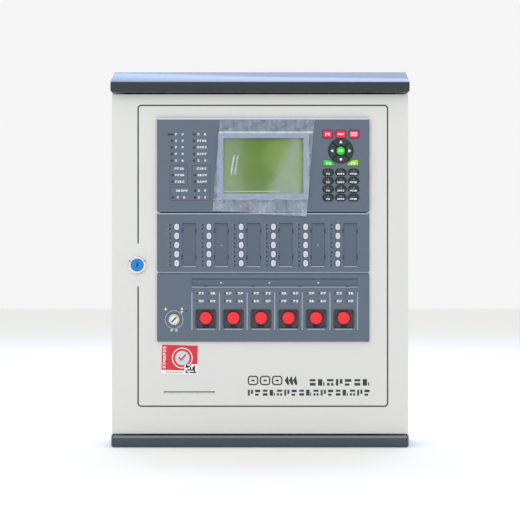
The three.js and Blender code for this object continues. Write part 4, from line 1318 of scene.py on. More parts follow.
@dataclass
class Seams:
    """Gaps between the three fascias and what lies behind them, with painted highlights on the top edges of
    the upper and zone fascias and in the lower gap.

    Args:
        overlap: how far a backing strip reaches past its gap, in mm.
        bevel: height of the painted bevel highlight in mm.
        margin: how far strips stop short of the fascia's sides, in mm.
    """

    overlap: float = 2.4
    bevel: float = 1.35
    margin: float = 1.5

    def build(self) -> None:
        """Back both gaps, paint highlights on the top edges of the upper and zone fascias and fill the lower
        gap with a painted highlight.
        """
        gaps = (
            ("upper_fascia", "zone_fascia", Finishes.abs_black),
            # The lower gap is backed in the pale bezel colour, part of the painted highlight along that seam.
            ("zone_fascia", "manual_fascia", Finishes.bezel)
        )
        # Painted highlight along the zone fascia's top edge.
        edges = MarkPrinter(box_mm("zone_fascia")[0].y, Finishes.bevel, 0.04)
        for above, below, finish in gaps:
            low, high = box_mm(below)
            gap = (high.z, box_mm(above)[0].z)
            strip = block(
                f"{below}_backing",
                (low.x + 6, high.x - 6),
                (high.y + 0.15, high.y + 1.0),
                (gap[0] - self.overlap, gap[1] + self.overlap),
                0.8,
                0.2,
            )
            fit_out(strip, finish, "door", "black_plastic")
            if finish is Finishes.abs_black:
                edges.bar(
                    (low.x + self.margin, high.x - self.margin), (high.z - self.bevel, high.z - 0.1), 0.3
                )
        edges.finish_as("zone_fascia_bevel_highlight", "door", "grey_plastic")
        # Painted highlight along the upper fascia's top edge.
        low, high = box_mm("upper_fascia")
        crown = MarkPrinter(low.y, Finishes.crown, 0.04)
        crown.bar((low.x + 0.4, high.x - 0.4), (high.z - self.bevel - 0.6, high.z - 0.1), 0.3)
        crown.finish_as("upper_fascia_bevel_highlight", "door", "grey_plastic")
        # A pale strip near the face in the lower gap: painted highlight of the lit seam edge.
        low, high = box_mm("manual_fascia")
        seam_highlight = block(
            "manual_seam_highlight",
            (low.x + self.margin, high.x - self.margin),
            (low.y + 0.12, low.y + 1.2),
            (high.z + 0.04, box_mm("zone_fascia")[0].z - 0.04),
            0.3,
            0.1,
        )
        fit_out(seam_highlight, Finishes.rib, "door", "grey_plastic")


@dataclass
class StatusLamps:
    """Lamps, their labels and their outlined groups at the left of the upper fascia."""

    left_x: float = -112.0
    right_x: float = -83.8
    rows: tuple[float, ...] = (158.1, 149.8, 141.5, 133.1, 124.6)
    glyph: float = 2.3

    def build(self) -> None:
        """Make the lamps in one piece, the labels in another and the outlines in a third."""
        face = box_mm("upper_fascia")[0].y
        extra = [
            (-111.2, 106.1), (-111.2, 97.7), (-82.7, 106.1), (-82.7, 97.7), (-82.7, 86.3),
            (-111.2, 77.7), (-82.7, 77.7), (-116.0, self.rows[0]),
        ]
        places = [(x, z) for z in self.rows for x in (self.left_x, self.right_x)] + extra
        pattern = lamp("lamp_pattern", 0.0, 0.0, face, 1.45)
        repeated(pattern, "status_lamps", places, Finishes.lens, "door", "black_plastic")
        bezels = MarkPrinter(face, Finishes.ink_line, 0.05)
        for x, z in places:
            bezels.ring(x, z, 1.7, 0.5)
        self.outlines(bezels)
        self.labels(face)

    def outlines(self, ink: MarkPrinter) -> None:
        """Print the rounded outlines of the lamp groups, with the rings round the lamps.

        Args:
            ink: the printer that takes the lines.
        """
        for xs, zs in (
            ((-115.2, -91.8), (93.6, 119.0)), ((-86.9, -63.2), (94.3, 119.0)),
            ((-114.6, -63.2), (73.8, 91.4))
        ):
            ink.frame(xs, zs, 1.6, 0.75)
        ink.finish_as("lamp_group_outlines", "door")

    def labels(self, face: float) -> None:
        """Print the white label figures beside the lamps.

        Args:
            face: place of the fascia along Y, in mm.
        """
        ink = MarkPrinter(face, Finishes.ink_white)
        g = self.glyph
        wide = []
        for index, z in enumerate(self.rows):
            wide += [(-108.1, z - g / 2, 1), (-99.6, z - g / 2, 1)]
            if index in (0, 4):
                wide += [(-79.5, z - g / 2, 1), (-70.9, z - g / 2, 1)]
            else:
                wide.append((-80.0, z - g / 2, 4))
        wide += [(-108.6, 113.3, 4), (-80.3, 113.3, 4), (-107.0, 85.1, 5), (-79.0, 85.1, 1), (-70.9, 85.1, 1)]
        wide += [(x, z, 4) for x in (-108.2, -79.6) for z in (104.9, 96.5)]
        wide += [(-106.0, 76.5, 1), (-97.6, 76.5, 1), (-79.0, 76.5, 1), (-70.9, 76.5, 1)]
        ink.row(wide, g, g + 0.2, 3.15)
        ink.finish_as("lamp_labels", "door")


# ---------------------------------------------------------------- keys
def digit_text(name: str, figure: str, x: float, z: float, face: float, height: float) -> Piece:
    """One digit made solid, standing on a face that looks to the front.

    Args:
        name: the piece's name.
        figure: the digit.
        x: centre x in mm.
        z: centre z in mm.
        face: y of the face in mm.
        height: digit height in mm.

    Returns:
        The piece, not yet fitted out.
    """
    deselect()
    bpy.ops.object.text_add(rotation=(math.radians(90), 0, 0))
    text = bpy.context.object
    text.data.body = figure
    text.data.size = mm(height) * 1.4
    text.data.extrude = mm(0.03)
    text.data.resolution_u = 3
    text.data.align_x = "CENTER"
    text.data.align_y = "CENTER"
    bpy.ops.object.convert(target="MESH")
    digit = settle(name)
    for vertex in digit.data.vertices:
        vertex.co += Vector((mm(x), mm(face - 0.02), mm(z)))
    return digit


@dataclass
class KeyPad:
    """Red function keys, ring of arrows, confirm and cancel keys, and the digit keys."""

    digits: str = "1234567890"
    pitch: Span = (16.2, 10.65)
    first: Span = (86.7, 109.6)
    key: Span = (14.0, 9.0)
    mat_thickness: float = 1.0

    def build(self) -> None:
        """Dress the shaped keys, model the digit keys and print them all."""
        for number in (1, 2, 3):
            dress(f"red_key_{number}", Finishes.key_red, 0.7)
        for side in ("up", "down", "left", "right"):
            dress(f"nav_{side}", Finishes.key_dark, 0.6)
        self.ok_key()
        dress("confirm_key", Finishes.key_green, 0.6)
        dress("cancel_key", Finishes.key_lime, 0.6)
        self.digit_keys()
        self.print_function_keys()
        self.arrows()
        self.wells()

    def ok_key(self) -> None:
        """Turn the round middle key with its crowned front."""
        low, high = box_mm("nav_ok")
        centre = (low + high) / 2
        radius = 5.3
        crown = [
            (
                radius * math.sin(math.radians(a)) * 0.86, low.y + 0.55 * (1 - math.cos(math.radians(a)))
            ) for a in range(0, 91, 15)
        ]
        flange = [(radius, FLANGE_FRONT), (radius + 0.8, FLANGE_FRONT), (radius + 0.8, MAT_BACK)]
        profile = [*crown, (radius, low.y + 1.0), *flange, (1.5, MAT_BACK), (1.5, high.y), (0.0, high.y)]
        key = turned("ok_key_cap", profile, centre.x, centre.z, 40)
        fit_out(key, Finishes.key_green, "nav_ok", "green_rubber", "nav_ok")
        ink = MarkPrinter(low.y + 0.1, Finishes.ink_white, 0.18)
        ink.row([(centre.x - 2.9, centre.z - 1.3, 2)], 2.6, 2.7, 3.1)
        ink.finish_as("ok_key_print", "nav_ok")

    def digit_keys(self) -> None:
        """Model one crowned key, repeat it on its mat and print it."""
        low = box_mm("number_key_mat")[0]
        w, h = self.key
        cap = block("digit_cap", (-w / 2, w / 2), (low.y, KEY_ROOT), (-h / 2, h / 2), h / 2 - 0.05, 0.75, 8)
        dish_x, dish_z = (-w / 2 + 1.6, w / 2 - 1.6), (-h / 2 + 1.5, h / 2 - 1.5)
        dish = block("digit_dish", dish_x, (low.y - 0.12, low.y + 0.4), dish_z, h / 2 - 1.6, 0.1, 6)
        caps, tops, digits = [], [], []
        ink = MarkPrinter(low.y - 0.12, Finishes.ink_white, 0.05)
        bars = []
        for index in range(12):
            column, row = index % 3, index // 3
            x = self.first[0] + column * self.pitch[0]
            z = self.first[1] - row * self.pitch[1]
            caps.append(copied(cap, f"cap_{index}", x, z))
            tops.append(copied(dish, f"dish_{index}", x, z))
            figure = self.digits[index] if index < 9 else {9: "+", 10: "0", 11: "-"}[index]
            digits.append(digit_text(f"digit_{index}", figure, x, z + 1.7, low.y - 0.14, 2.6))
            count = 4 if (index * 7) % 3 else 2
            bars.append((x - count * 1.15, z - 3.0, count))
        ink.row(bars, 1.95, 2.1, 2.3)
        mat_top = box_mm("number_key_mat")
        mat = block(
            "key_mat",
            (mat_top[0].x, mat_top[1].x),
            (MAT_FRONT, MAT_FRONT + self.mat_thickness),
            (mat_top[0].z, mat_top[1].z),
            1.0,
            0.2,
        )
        discard(cap, dish)
        fit_out(
            joined("digit_key_caps", [mat, *caps]), Finishes.key_rim, "number_key_mat", "dark_rubber",
            "number_key_mat"
        )
        fit_out(joined("digit_key_faces", tops), Finishes.key_dark, "number_key_mat", "dark_rubber")
        fit_out(joined("digit_key_figures", digits), Finishes.ink_grey, "number_key_mat", "label_print")
        ink.finish_as("digit_key_print", "number_key_mat")

    def print_function_keys(self) -> None:
        """Print the red keys and the two wing keys with white figures."""
        for number, (count, lines) in enumerate(((2, 1), (4, 1), (4, 2)), start=1):
            node = f"red_key_{number}"
            face = box_mm(node)[0].y
            centre = centre_mm(node)
            ink = MarkPrinter(face, Finishes.ink_white, 0.05)
            size = 2.9 if count == 2 else 1.9
            rows = [
                (
                    centre.x - count * size * 0.55,
                    158.2 - size / 2 + (1.4 * (1 - 2 * line) if lines > 1 else 0.0), count
                )
                for line in range(lines)
            ]
            ink.row(rows, size, size + 0.1, size * 1.12)
            ink.finish_as(f"red_key_print_{number}", node)
        for node, x in (("confirm_key", 84.2), ("cancel_key", 115.2)):
            face = box_mm(node)[0].y
            ink = MarkPrinter(face, Finishes.ink_white, 0.05)
            ink.row([(x, 119.6, 2)], 2.9, 2.9, 3.3)
            ink.finish_as(f"{node}_print", node)

    def arrows(self) -> None:
        """Print a white arrow head on each part of the ring."""
        middle = centre_mm("nav_ok")
        reach = 11.2
        for angle, side in ((90, "up"), (270, "down"), (180, "left"), (0, "right")):
            face = box_mm(f"nav_{side}")[0].y
            cos, sin = math.cos(math.radians(angle)), math.sin(math.radians(angle))
            points = [
                (middle.x + cos * (reach + a) - sin * b, middle.z + sin * (reach + a) + cos * b)
                for a, b in ((2.0, 0.0), (-1.5, 2.1), (-1.5, -2.1))
            ]
            arrow = outline_plate(f"nav_{side}_arrow", points, face - 0.06, face + EMBED)
            fit_out(arrow, Finishes.ink_white, f"nav_{side}", "label_print")

    def wells(self) -> None:
        """Print the dark surrounds that frame the red keys and the ring."""
        face = box_mm("upper_fascia")[0].y
        middle = centre_mm("nav_ok")
        ink = MarkPrinter(face, Finishes.surround_ink_and_shade, 0.04)
        ink.ring(middle.x, middle.z, 16.0, 1.1)
        for number in (1, 2, 3):
            x = 86.2 + 16.7 * (number - 1)
            ink.frame((x - 6.9, x + 6.9), (152.6, 163.8), 1.6, 0.6)
        ink.finish_as("key_surrounds", "door")


# ---------------------------------------------------------------- zone keys
@dataclass
class ZonePanel:
    """Middle fascia: six columns of oval keys, each with its lamps and its card."""

    first_x: float = -106.1
    pitch_x: float = 41.05
    middle_z: float = 17.1
    pitch_z: float = 11.6
    columns: int = 6
    rows: int = 5
    key: Span = (6.0, 8.4)

    def places(self) -> list[tuple[int, float, float]]:
        """Column number, x and z of every key in mm.

        Returns:
            Column, x and z of each key.
        """
        return [
            (column, self.first_x + column * self.pitch_x, self.middle_z + (2 - row) * self.pitch_z)
            for column in range(self.columns)
            for row in range(self.rows)
        ]

    def build(self) -> None:
        """Dress the fascia and build its keys, lamps and cards."""
        dress("zone_fascia", Finishes.abs_blue_grey)
        self.strips()
        self.surrounds()
        self.lamps()
        self.cards()

    def strips(self) -> None:
        """Model one oval key and repeat it on each column's strip."""
        low = box_mm("zone_key_strip_1")[0]
        w, h = self.key
        oval = block("oval_key", (-w / 2, w / 2), (low.y, KEY_ROOT), (-h / 2, h / 2), w / 2 - 0.02, 0.8, 8)
        for column in range(self.columns):
            node = f"zone_key_strip_{column + 1}"
            x = self.first_x + column * self.pitch_x
            low, high = box_mm(node)
            web = block(f"web_{column}", (x - 5, x + 5), (MAT_FRONT, MAT_BACK), (low.z, high.z), 1.0, 0.2)
            ovals = [
                copied(oval, f"oval_{i}", kx, kz)
                for i, (c, kx, kz) in enumerate(self.places()) if c == column
            ]
            strip = joined(f"zone_keys_{column + 1}", [web, *ovals])
            fit_out(strip, Finishes.key_white, node, "white_rubber", node)
            ink = MarkPrinter(low.y, Finishes.ink_grey, 0.04)
            ink.row(
                [
                    (x - 0.9, kz - 1.5 + 1.7 * i, 1)
                    for c, _, kz in self.places() if c == column
                    for i in (0, 1)
                ],
                1.8, 1.2, 2
            )
            ink.finish_as(f"zone_key_print_{column + 1}", node)
        discard(oval)

    def surrounds(self) -> None:
        """Print the dark oval outline that frames each key."""
        face = box_mm("zone_fascia")[0].y
        ink = MarkPrinter(face, Finishes.surround_ink_and_shade, 0.04)
        w, h = self.key
        ink.frame((-w / 2 - 1.0, w / 2 + 1.0), (-h / 2 - 1.0, h / 2 + 1.0), w / 2 + 0.9, 0.65)
        pattern = ink.placed.pop()
        ink.placed = [copied(pattern, f"outline_{i}", x, z) for i, (_, x, z) in enumerate(self.places())]
        discard(pattern)
        ink.finish_as("zone_key_outlines", "door")

    def lamps(self) -> None:
        """Stand two small lamps beside each key and print the marks that name them."""
        face = box_mm("zone_fascia")[0].y
        pattern = lamp("zone_lamp", 0.0, 0.0, face, 1.4, 0.3)
        places = [(x - 8.4, z + side) for _, x, z in self.places() for side in (-2.5, 2.5)]
        repeated(pattern, "zone_lamps", places, Finishes.lens, "door", "black_plastic")
        ink = MarkPrinter(face, Finishes.ink_pale, 0.04)
        ink.row([(x - 3.0, z - 0.7, 1) for x, z in places], 1.2, 1.4, 1.5)
        ink.finish_as("zone_lamp_marks", "door")

    def cards(self) -> None:
        """Lay a card in each recess, with its clips and its ruled lines, a painted shade along the recess's
        top and a painted highlight along its foot.
        """
        face = box_mm("zone_fascia")[0].y
        floor = face + 0.8
        card = block("card", (-8.3, 8.3), (floor - 0.25, floor + EMBED), (-26.5, 26.5), 0.6, 0.1)
        places = [(self.first_x + c * self.pitch_x + 15.8, 17.6) for c in range(self.columns)]
        repeated(card, "zone_cards", places, Finishes.card, "door", "white_paper")
        dark = MarkPrinter(face, Finishes.ink_dark, 0.05)
        shade = MarkPrinter(face, Finishes.surround_ink_and_shade, 0.05)
        pale = MarkPrinter(face, Finishes.pale_ink_and_edge_highlight, 0.05)
        rules = MarkPrinter(floor - 0.25, Finishes.ink_line, 0.03)
        for column in range(self.columns):
            x = self.first_x + column * self.pitch_x + 15.8
            for z in (35.4, 1.4):
                dark.bar((x - 9.7, x - 8.3), (z - 2.7, z + 2.7), 0.3)
                dark.bar((x + 8.3, x + 9.7), (z - 2.7, z + 2.7), 0.3)
            # Painted shade under the recess's top edge, painted highlight on its lit lower edge.
            shade.bar((x - 8.6, x + 8.6), (44.3, 45.1), 0.3)
            pale.bar((x - 8.4, x + 8.4), (-10.6, -9.7), 0.3)
            rules.bar((x - 8.3, x + 8.3), (42.0, 42.3))
            if column in (1, 4):
                pale.bar((x - 0.9, x + 0.9), (15.9, 17.4), 0.5)
        dark.finish_as("zone_card_clips", "door", "black_plastic")
        shade.finish_as("zone_card_shades", "door", "black_plastic")
        pale.finish_as("zone_card_edge_highlights", "door")
        rules.finish_as("zone_card_rules", "door")


# ---------------------------------------------------------------- release buttons and key switch
@dataclass
class ManualPanel:
    """Lower fascia: the release buttons in their wells, the key switch, labels and ribs."""

    first_x: float = -69.1
    pitch: float = 35.15
    count: int = 6
    button_z: float = -76.0
    well_z: float = -76.9
    well: Span = (26.1, 24.6)
    well_floor: float = -119.5

    def columns(self) -> list[float]:
        """The x of every button in mm."""
        return [self.first_x + i * self.pitch for i in range(self.count)]

    def build(self) -> None:
        """Dress the fascia and build what stands on it."""
        dress("manual_fascia", Finishes.abs_blue_grey)
        self.buttons()
        self.liners()
        self.ribs()
        self.labels()
        self.key_switch()

    def buttons(self) -> None:
        """Turn one crowned red button and give each position a copy."""
        low, high = box_mm("release_button_1")
        face = low.y
        profile = [
            (0.0, face),
            (5.6, face + 0.04),
            (6.9, face + 0.16),
            (7.5, face + 0.5),
            (7.85, face + 1.1),
            (8.0, face + 2.0),
            (8.0, face + 6.1),
            (3.2, face + 6.1),
            (3.2, high.y),
            (0.0, high.y),
        ]
        pattern = turned("release_pattern", profile, 0.0, self.button_z, 56)
        for index, x in enumerate(self.columns(), start=1):
            node = f"release_button_{index}"
            button = copied(pattern, f"red_release_{index}", x)
            fit_out(button, Finishes.abs_red, node, "red_plastic", node)
        discard(pattern)

    def liners(self) -> None:
        """Line each well with its darker cup: floor, four sides, and a black block under the button; paint a
        highlight on each well's lower rim and shade round its edge.
        """
        w, h = self.well
        face = box_mm("manual_fascia")[0].y
        floor = self.well_floor
        inset = 0.15
        cup = block(
            "cup", (-w / 2 + inset, w / 2 - inset), (face + 1.0, floor - 0.05),
            (-h / 2 + inset, h / 2 - inset), 3.0
        )
        hollow(cup, 0.5, floor - face - 1.35)
        wall = [
            (8.4, floor - 2.1), (8.7, floor - 2.4), (9.4, floor - 2.1), (9.8, floor - 0.2),
            (8.4, floor - 0.2), (8.4, floor - 2.1)
        ]
        hub = turned("hub", wall, 0.0, self.button_z - self.well_z, 40)
        dark_block = block("dark_block", (-3.6, 3.6), (floor - 5.2, floor - 0.2), (-11.2, -8.6), 0.5, 0.4)
        sill = block("sill", (-11.6, 11.6), (floor - 1.6, floor - 0.2), (-11.6, -9.2), 0.6, 0.5)
        cups = [
            copied(piece, f"{piece.name}_{i}", x, self.well_z)
            for i, x in enumerate(self.columns())
            for piece in (cup, hub)
        ]
        discard(cup, hub)
        fit_out(joined("well_liners", cups), Finishes.abs_smoke, "door", "black_plastic")
        places = [(x, self.well_z) for x in self.columns()]
        repeated(dark_block, "well_dark_blocks", places, Finishes.abs_black, "door", "black_plastic")
        repeated(sill, "well_sills", places, Finishes.abs_lip, "door", "black_plastic")
        # Painted highlight on each well's lit lower rim and painted shade round its edge.
        rim_highlights = MarkPrinter(face, Finishes.pale_ink_and_edge_highlight, 0.05)
        shades = MarkPrinter(face, Finishes.surround_ink_and_shade, 0.04)
        for x in self.columns():
            rim_highlights.bar(
                (x - w / 2 + 1.6, x + w / 2 - 1.6), (self.well_z - h / 2 - 1.5, self.well_z - h / 2 - 0.3),
                0.5
            )
            shades.frame(
                (x - w / 2 - 0.5, x + w / 2 + 0.5), (
                    self.well_z - h / 2 - 0.5, self.well_z + h / 2 + 0.5
                ), 3.6, 0.5
            )
        rim_highlights.finish_as("well_lower_rim_highlights", "door")
        shades.finish_as("well_edge_shades", "door")

    def ribs(self) -> None:
        """Stand the light ribs between the wells and close the title slot with its clips, with a painted
        shade along the slot's top and a painted highlight along its foot.
        """
        face = box_mm("manual_fascia")[0].y
        rib = block("rib", (-0.9, 0.9), (face - 0.5, face + EMBED), (-91.0, -43.0), 0.8, 0.35)
        shifts = [(-86.7 + self.pitch * i, 0.0) for i in range(self.count + 1)]
        repeated(rib, "manual_ribs", shifts, Finishes.rib, "door", "grey_plastic")
        floor = face + 0.8
        card = block("title_card", (-86.2, 123.9), (floor - 0.25, floor + EMBED), (-34.6, -26.5), 0.5, 0.1)
        fit_out(card, Finishes.card, "door", "white_paper")
        # Painted shade under the title slot's top edge.
        shade = MarkPrinter(face, Finishes.surround_ink_and_shade, 0.05)
        shade.bar((-86.9, 124.5), (-26.1, -25.4), 0.2)
        shade.finish_as("title_slot_shade", "door", "black_plastic")
        dark = MarkPrinter(face, Finishes.ink_dark, 0.05)
        for x in (-69.1, -8.6, 51.3, 111.7):
            dark.bar((x - 2.6, x + 2.6), (-36.2, -34.7), 0.4)
        dark.finish_as("title_slot_clips", "door", "black_plastic")
        # Painted highlight on the title slot's lit lower edge.
        pale = MarkPrinter(face, Finishes.pale_ink_and_edge_highlight, 0.05)
        pale.bar((-86.9, 124.5), (-36.9, -36.2), 0.2)
        pale.finish_as("title_slot_edge_highlight", "door")
        dots = MarkPrinter(floor - 0.25, Finishes.ink_white, 0.05)
        for x in (-49.6, 11.9, 74.3):
            dots.bar((x - 1.1, x + 1.1), (-31.6, -30.4), 0.5)
        dots.finish_as("title_card_dots", "door")

    def labels(self) -> None:
        """Stand four lamps over each button, each with two white figures."""
        face = box_mm("manual_fascia")[0].y
        pattern = lamp("manual_lamp", 0.0, 0.0, face, 1.15, 0.3)
        places = [(x + dx, z) for x in self.columns() for dx in (-11.1, 3.8) for z in (-44.3, -54.3)]
        rows = [(x + 2.2, z - 1.35, 2) for x, z in places]
        places.append((-94.0, -66.6))
        repeated(pattern, "manual_lamps", places, Finishes.lens, "door", "black_plastic")
        ink = MarkPrinter(face, Finishes.ink_white)
        ink.row(rows, 2.7, 2.8, 3.5)
        marks = [(-121.2, -65.8), (-100.9, -65.6), (-100.9, -69.6), (-113.8, -92.9), (-107.8, -92.9)]
        ink.row([(x, z, 1) for x, z in marks], 2.7, 2.8, 3.5)
        ink.finish_as("manual_labels", "door")

    def key_switch(self) -> None:
        """Dress the key switch, paint the shade of its key slot and print the ring round it."""
        dress("key_switch_body", Finishes.nickel, 0.3)
        dress("key_switch_plug", Finishes.cream_disc, 0.15)
        low = box_mm("key_switch_plug")[0]
        centre = centre_mm("key_switch_plug")
        reach, half = 3.1, 0.62
        corners = [
            (-reach - half, -reach + half), (-reach + half, -reach - half), (reach + half, reach - half),
            (reach - half, reach + half)
        ]
        # A dark bar on the plug: painted shade of the key slot.
        slot = outline_plate(
            "key_slot_shade", [(centre.x + x, centre.z + z) for x, z in corners], low.y - 0.04, low.y + EMBED
        )
        fit_out(slot, Finishes.chip, "key_switch_plug", "black_plastic")
        face = box_mm("manual_fascia")[0].y
        ring = MarkPrinter(face, Finishes.pale_ink_and_edge_highlight, 0.3)
        ring.ring(centre.x, centre.z, 11.4, 0.9)
        ring.finish_as("key_switch_ring", "door")


# ---------------------------------------------------------------- printer
@dataclass
class Printer:
    """Strip printer behind the door: bucket, roller, paper roll and the strip in the slot."""

    slot_x: float = -90.2
    slot_z: float = -170.5
    strip_width: float = 57.5

    def build(self) -> None:
        """Dress the printer and thread the paper."""
        dress("printer_body", Finishes.abs_black, 0.4)
        dress("printer_mechanism", Finishes.zinc, 0.3)
        dress("platen_roller", Finishes.rubber)
        dress("paper_roll", Finishes.paper, 0.2)
        self.slot_lip()
        self.paper_edge()

    def slot_lip(self) -> None:
        """Model the tear bar with its teeth along the paper slot."""
        face = box_mm("door_panel")[0].y
        half = 32.2
        bar = block("tear_bar", (self.slot_x - half, self.slot_x + half), (face + 0.5, face + 1.6),
                    (self.slot_z - 1.15, self.slot_z + 0.1), 0.3, 0.2)
        tooth = outline_plate("tooth", [(-0.6, -0.1), (0.6, -0.1), (0.0, 0.75)], face + 0.6, face + 1.2)
        count = 40
        first, pitch = self.slot_x - half + 1, (2 * half - 2) / (count - 1)
        teeth = [copied(tooth, "tooth", first + i * pitch, self.slot_z) for i in range(count)]
        discard(tooth)
        fit_out(joined("paper_tear_bar", [bar, *teeth]), Finishes.zinc, "door", "zinc_steel")

    def paper_edge(self) -> None:
        """Lead a tongue of paper from the roller to the slot, its torn edge showing in it."""
        face = box_mm("door_panel")[0].y
        half = self.strip_width / 2
        deselect()
        bpy.ops.mesh.primitive_grid_add(x_subdivisions=36, y_subdivisions=6, size=1)
        tongue = settle("paper_tongue")
        for vertex in tongue.data.vertices:
            u, v = vertex.co.x + 0.5, vertex.co.y + 0.5
            torn = 0.25 * math.sin(31 * u) + 0.2 * math.sin(57 * u + 1) if v > 0.99 else 0.0
            y = (face + 6.5) + (-5.6 + torn) * v
            z = self.slot_z + 0.35 + 0.12 * math.sin(6 * u) * v
            vertex.co = Vector((mm(self.slot_x - half + 2 * half * u), mm(y), mm(z)))
        tongue.modifiers.new("gauge", "SOLIDIFY").thickness = mm(0.08)
        fit_out(tongue, Finishes.paper, "door", "white_paper")


# ---------------------------------------------------------------- inside
@dataclass
class MainBoard:
    """Main board with its relays, connectors, chips, capacitors and tracks."""

    left: float = -144.0
    bottom: float = 38.5
    face: float = -14.9

    def build(self) -> None:
        """Dress the board and cover its raised parts with their own housings."""
        dress("main_board", Finishes.solder_mask)
        dress("field_terminal_strip", Finishes.abs_green, 0.25)
        self.relays()
        self.connectors()
        self.chips()
        self.capacitors()
        self.tracks()
        self.terminals()

    def over(
        self, name: str, x: float, z: float, width: float, height: float, rise: float, edge: float = 0.5
    ) -> Piece:
        """A housing over one raised part of the board, 0.15 mm larger all round."""
        x0, z0 = self.left + x - 0.15, self.bottom + z - 0.15
        return block(
            name, (x0, x0 + width + 0.3), (self.face - rise - 0.15, self.face), (z0, z0 + height + 0.3),
            0.6, edge
        )

    def relays(self) -> None:
        """Blue relay cans in a row, each with a printed line."""
        can = self.over("relay", 12, 22, 19, 15, 15)
        shifts = [(28.0 * i, 0.0) for i in range(6)]
        repeated(can, "relay_cans", shifts, Finishes.relay, "cabinet", "blue_plastic")
        ink = MarkPrinter(self.face - 15.15, Finishes.ink_white, 0.04)
        ink.row(
            [(self.left + 15 + 28 * i, self.bottom + 30 - 4 * j, 4) for i in range(6) for j in (0, 1)], 2.2,
            2.2, 3
        )
        ink.finish_as("relay_marks", "cabinet")

    def connectors(self) -> None:
        """White connector bodies with rows of tinned pins."""
        body = self.over("connector", 20, 132, 36, 9, 9)
        hollow(body, 1.2, 7.0)
        shifts = [(50.0 * i, 0.0) for i in range(3)]
        repeated(body, "connector_bodies", shifts, Finishes.cream, "cabinet", "white_paper")
        pin = block("pin", (-0.32, 0.32), (self.face - 7.4, self.face), (-0.32, 0.32), 0.0, 0.15)
        places = [
            (self.left + 23 + 50 * i + 2.54 * j, self.bottom + 136.5 + side)
            for i in range(3)
            for j in range(13)
            for side in (-1.6, 1.6)
        ]
        repeated(pin, "connector_pins", places, Finishes.copper, "cabinet", "bright_metal")

    def chips(self) -> None:
        """Black chips with their legs."""
        bodies, legs = [], []
        chips = (
            (62, 78, 24, 24, 2.5), (112, 74, 30, 12, 3), (20, 90, 18, 8, 2.4),
            (20, 72, 18, 8, 2.4), (110, 104, 14, 14, 2.2), (150, 98, 22, 9, 2.6),
        )
        for x, z, width, height, rise in chips:
            bodies.append(self.over("chip", x, z, width, height, rise, 0.3))
            count = int(width / 2)
            for i in range(count):
                leg_x = self.left + x + (i + 0.5) * width / count
                for low in (self.bottom + z - 1.4, self.bottom + z + height + 0.1):
                    legs.append(
                        block(
                            "leg", (leg_x - 0.3, leg_x + 0.3), (self.face - 1.1, self.face + EMBED),
                            (low, low + 1.3)
                        )
                    )
        fit_out(joined("board_chips", bodies), Finishes.chip, "cabinet", "black_plastic")
        fit_out(joined("board_chip_legs", legs), Finishes.copper, "cabinet", "bright_metal")

    def capacitors(self) -> None:
        """Upright electrolytic capacitors in a blue sleeve, with their pressed tops."""
        sleeves, tops = [], []
        places = [(8, 60), (8, 46), (176, 60), (176, 46), (52, 60), (96, 60), (140, 60), (96, 100), (52, 112)]
        for index, (x, z) in enumerate(places):
            radius, rise = (5.0, 12.0) if index < 4 else (3.2, 8.0)
            cx, cz, top = self.left + x, self.bottom + z, self.face - rise
            profile = [
                (radius * 0.82, top), (radius, top + 0.6), (radius, self.face), (radius * 0.82, self.face),
                (radius * 0.82, top)
            ]
            sleeves.append(turned("sleeve", profile, cx, cz, 24))
            tops.append(
                turned(
                    "top",
                    [(0, top + 0.3), (radius * 0.8, top + 0.15), (radius * 0.8, top + 1), (0, top + 1)], cx,
                    cz, 24
                )
            )
        fit_out(joined("capacitor_sleeves", sleeves), Finishes.sleeve, "cabinet", "blue_plastic")
        fit_out(joined("capacitor_tops", tops), Finishes.nickel, "cabinet", "bright_metal")

    def tracks(self) -> None:
        """Print the tracks between the parts, from a fixed seed."""
        draw = random.Random(7)
        ink = MarkPrinter(self.face, Finishes.track, 0.03)
        for _ in range(34):
            x = self.left + draw.uniform(8, 150)
            z = self.bottom + draw.uniform(42, 128)
            length, drop = draw.uniform(8, 30), draw.uniform(4, 14)
            ink.bar((x, x + length), (z, z + 0.5))
            ink.bar((x + length - 0.5, x + length), (z - drop, z))
        for x, z in ((4, 4), (186, 4), (4, 146), (186, 146)):
            ink.ring(self.left + x, self.bottom + z, 3.0, 1.2)
        ink.finish_as("board_tracks", "cabinet", "circuit_board")

    def terminals(self) -> None:
        """Clamp screws and wire mouths of the field terminal strip."""
        low, high = box_mm("field_terminal_strip")
        count = 22
        pattern = screw("clamp", 0.0, 0.0, low.y, 2.0)
        pitch = (high.x - low.x - 16) / (count - 1)
        places = [(low.x + 8 + i * pitch, (low.z + high.z) / 2 + 2.6) for i in range(count)]
        repeated(pattern, "terminal_clamps", places, Finishes.nickel, "cabinet", "bright_metal")
        ink = MarkPrinter(low.y, Finishes.ink_white, 0.04)
        ink.row([(low.x + 7 + i * pitch, low.z + 0.9, 1) for i in range(count)], 1.8, 2.0, 2)
        ink.finish_as("terminal_numbers", "cabinet")


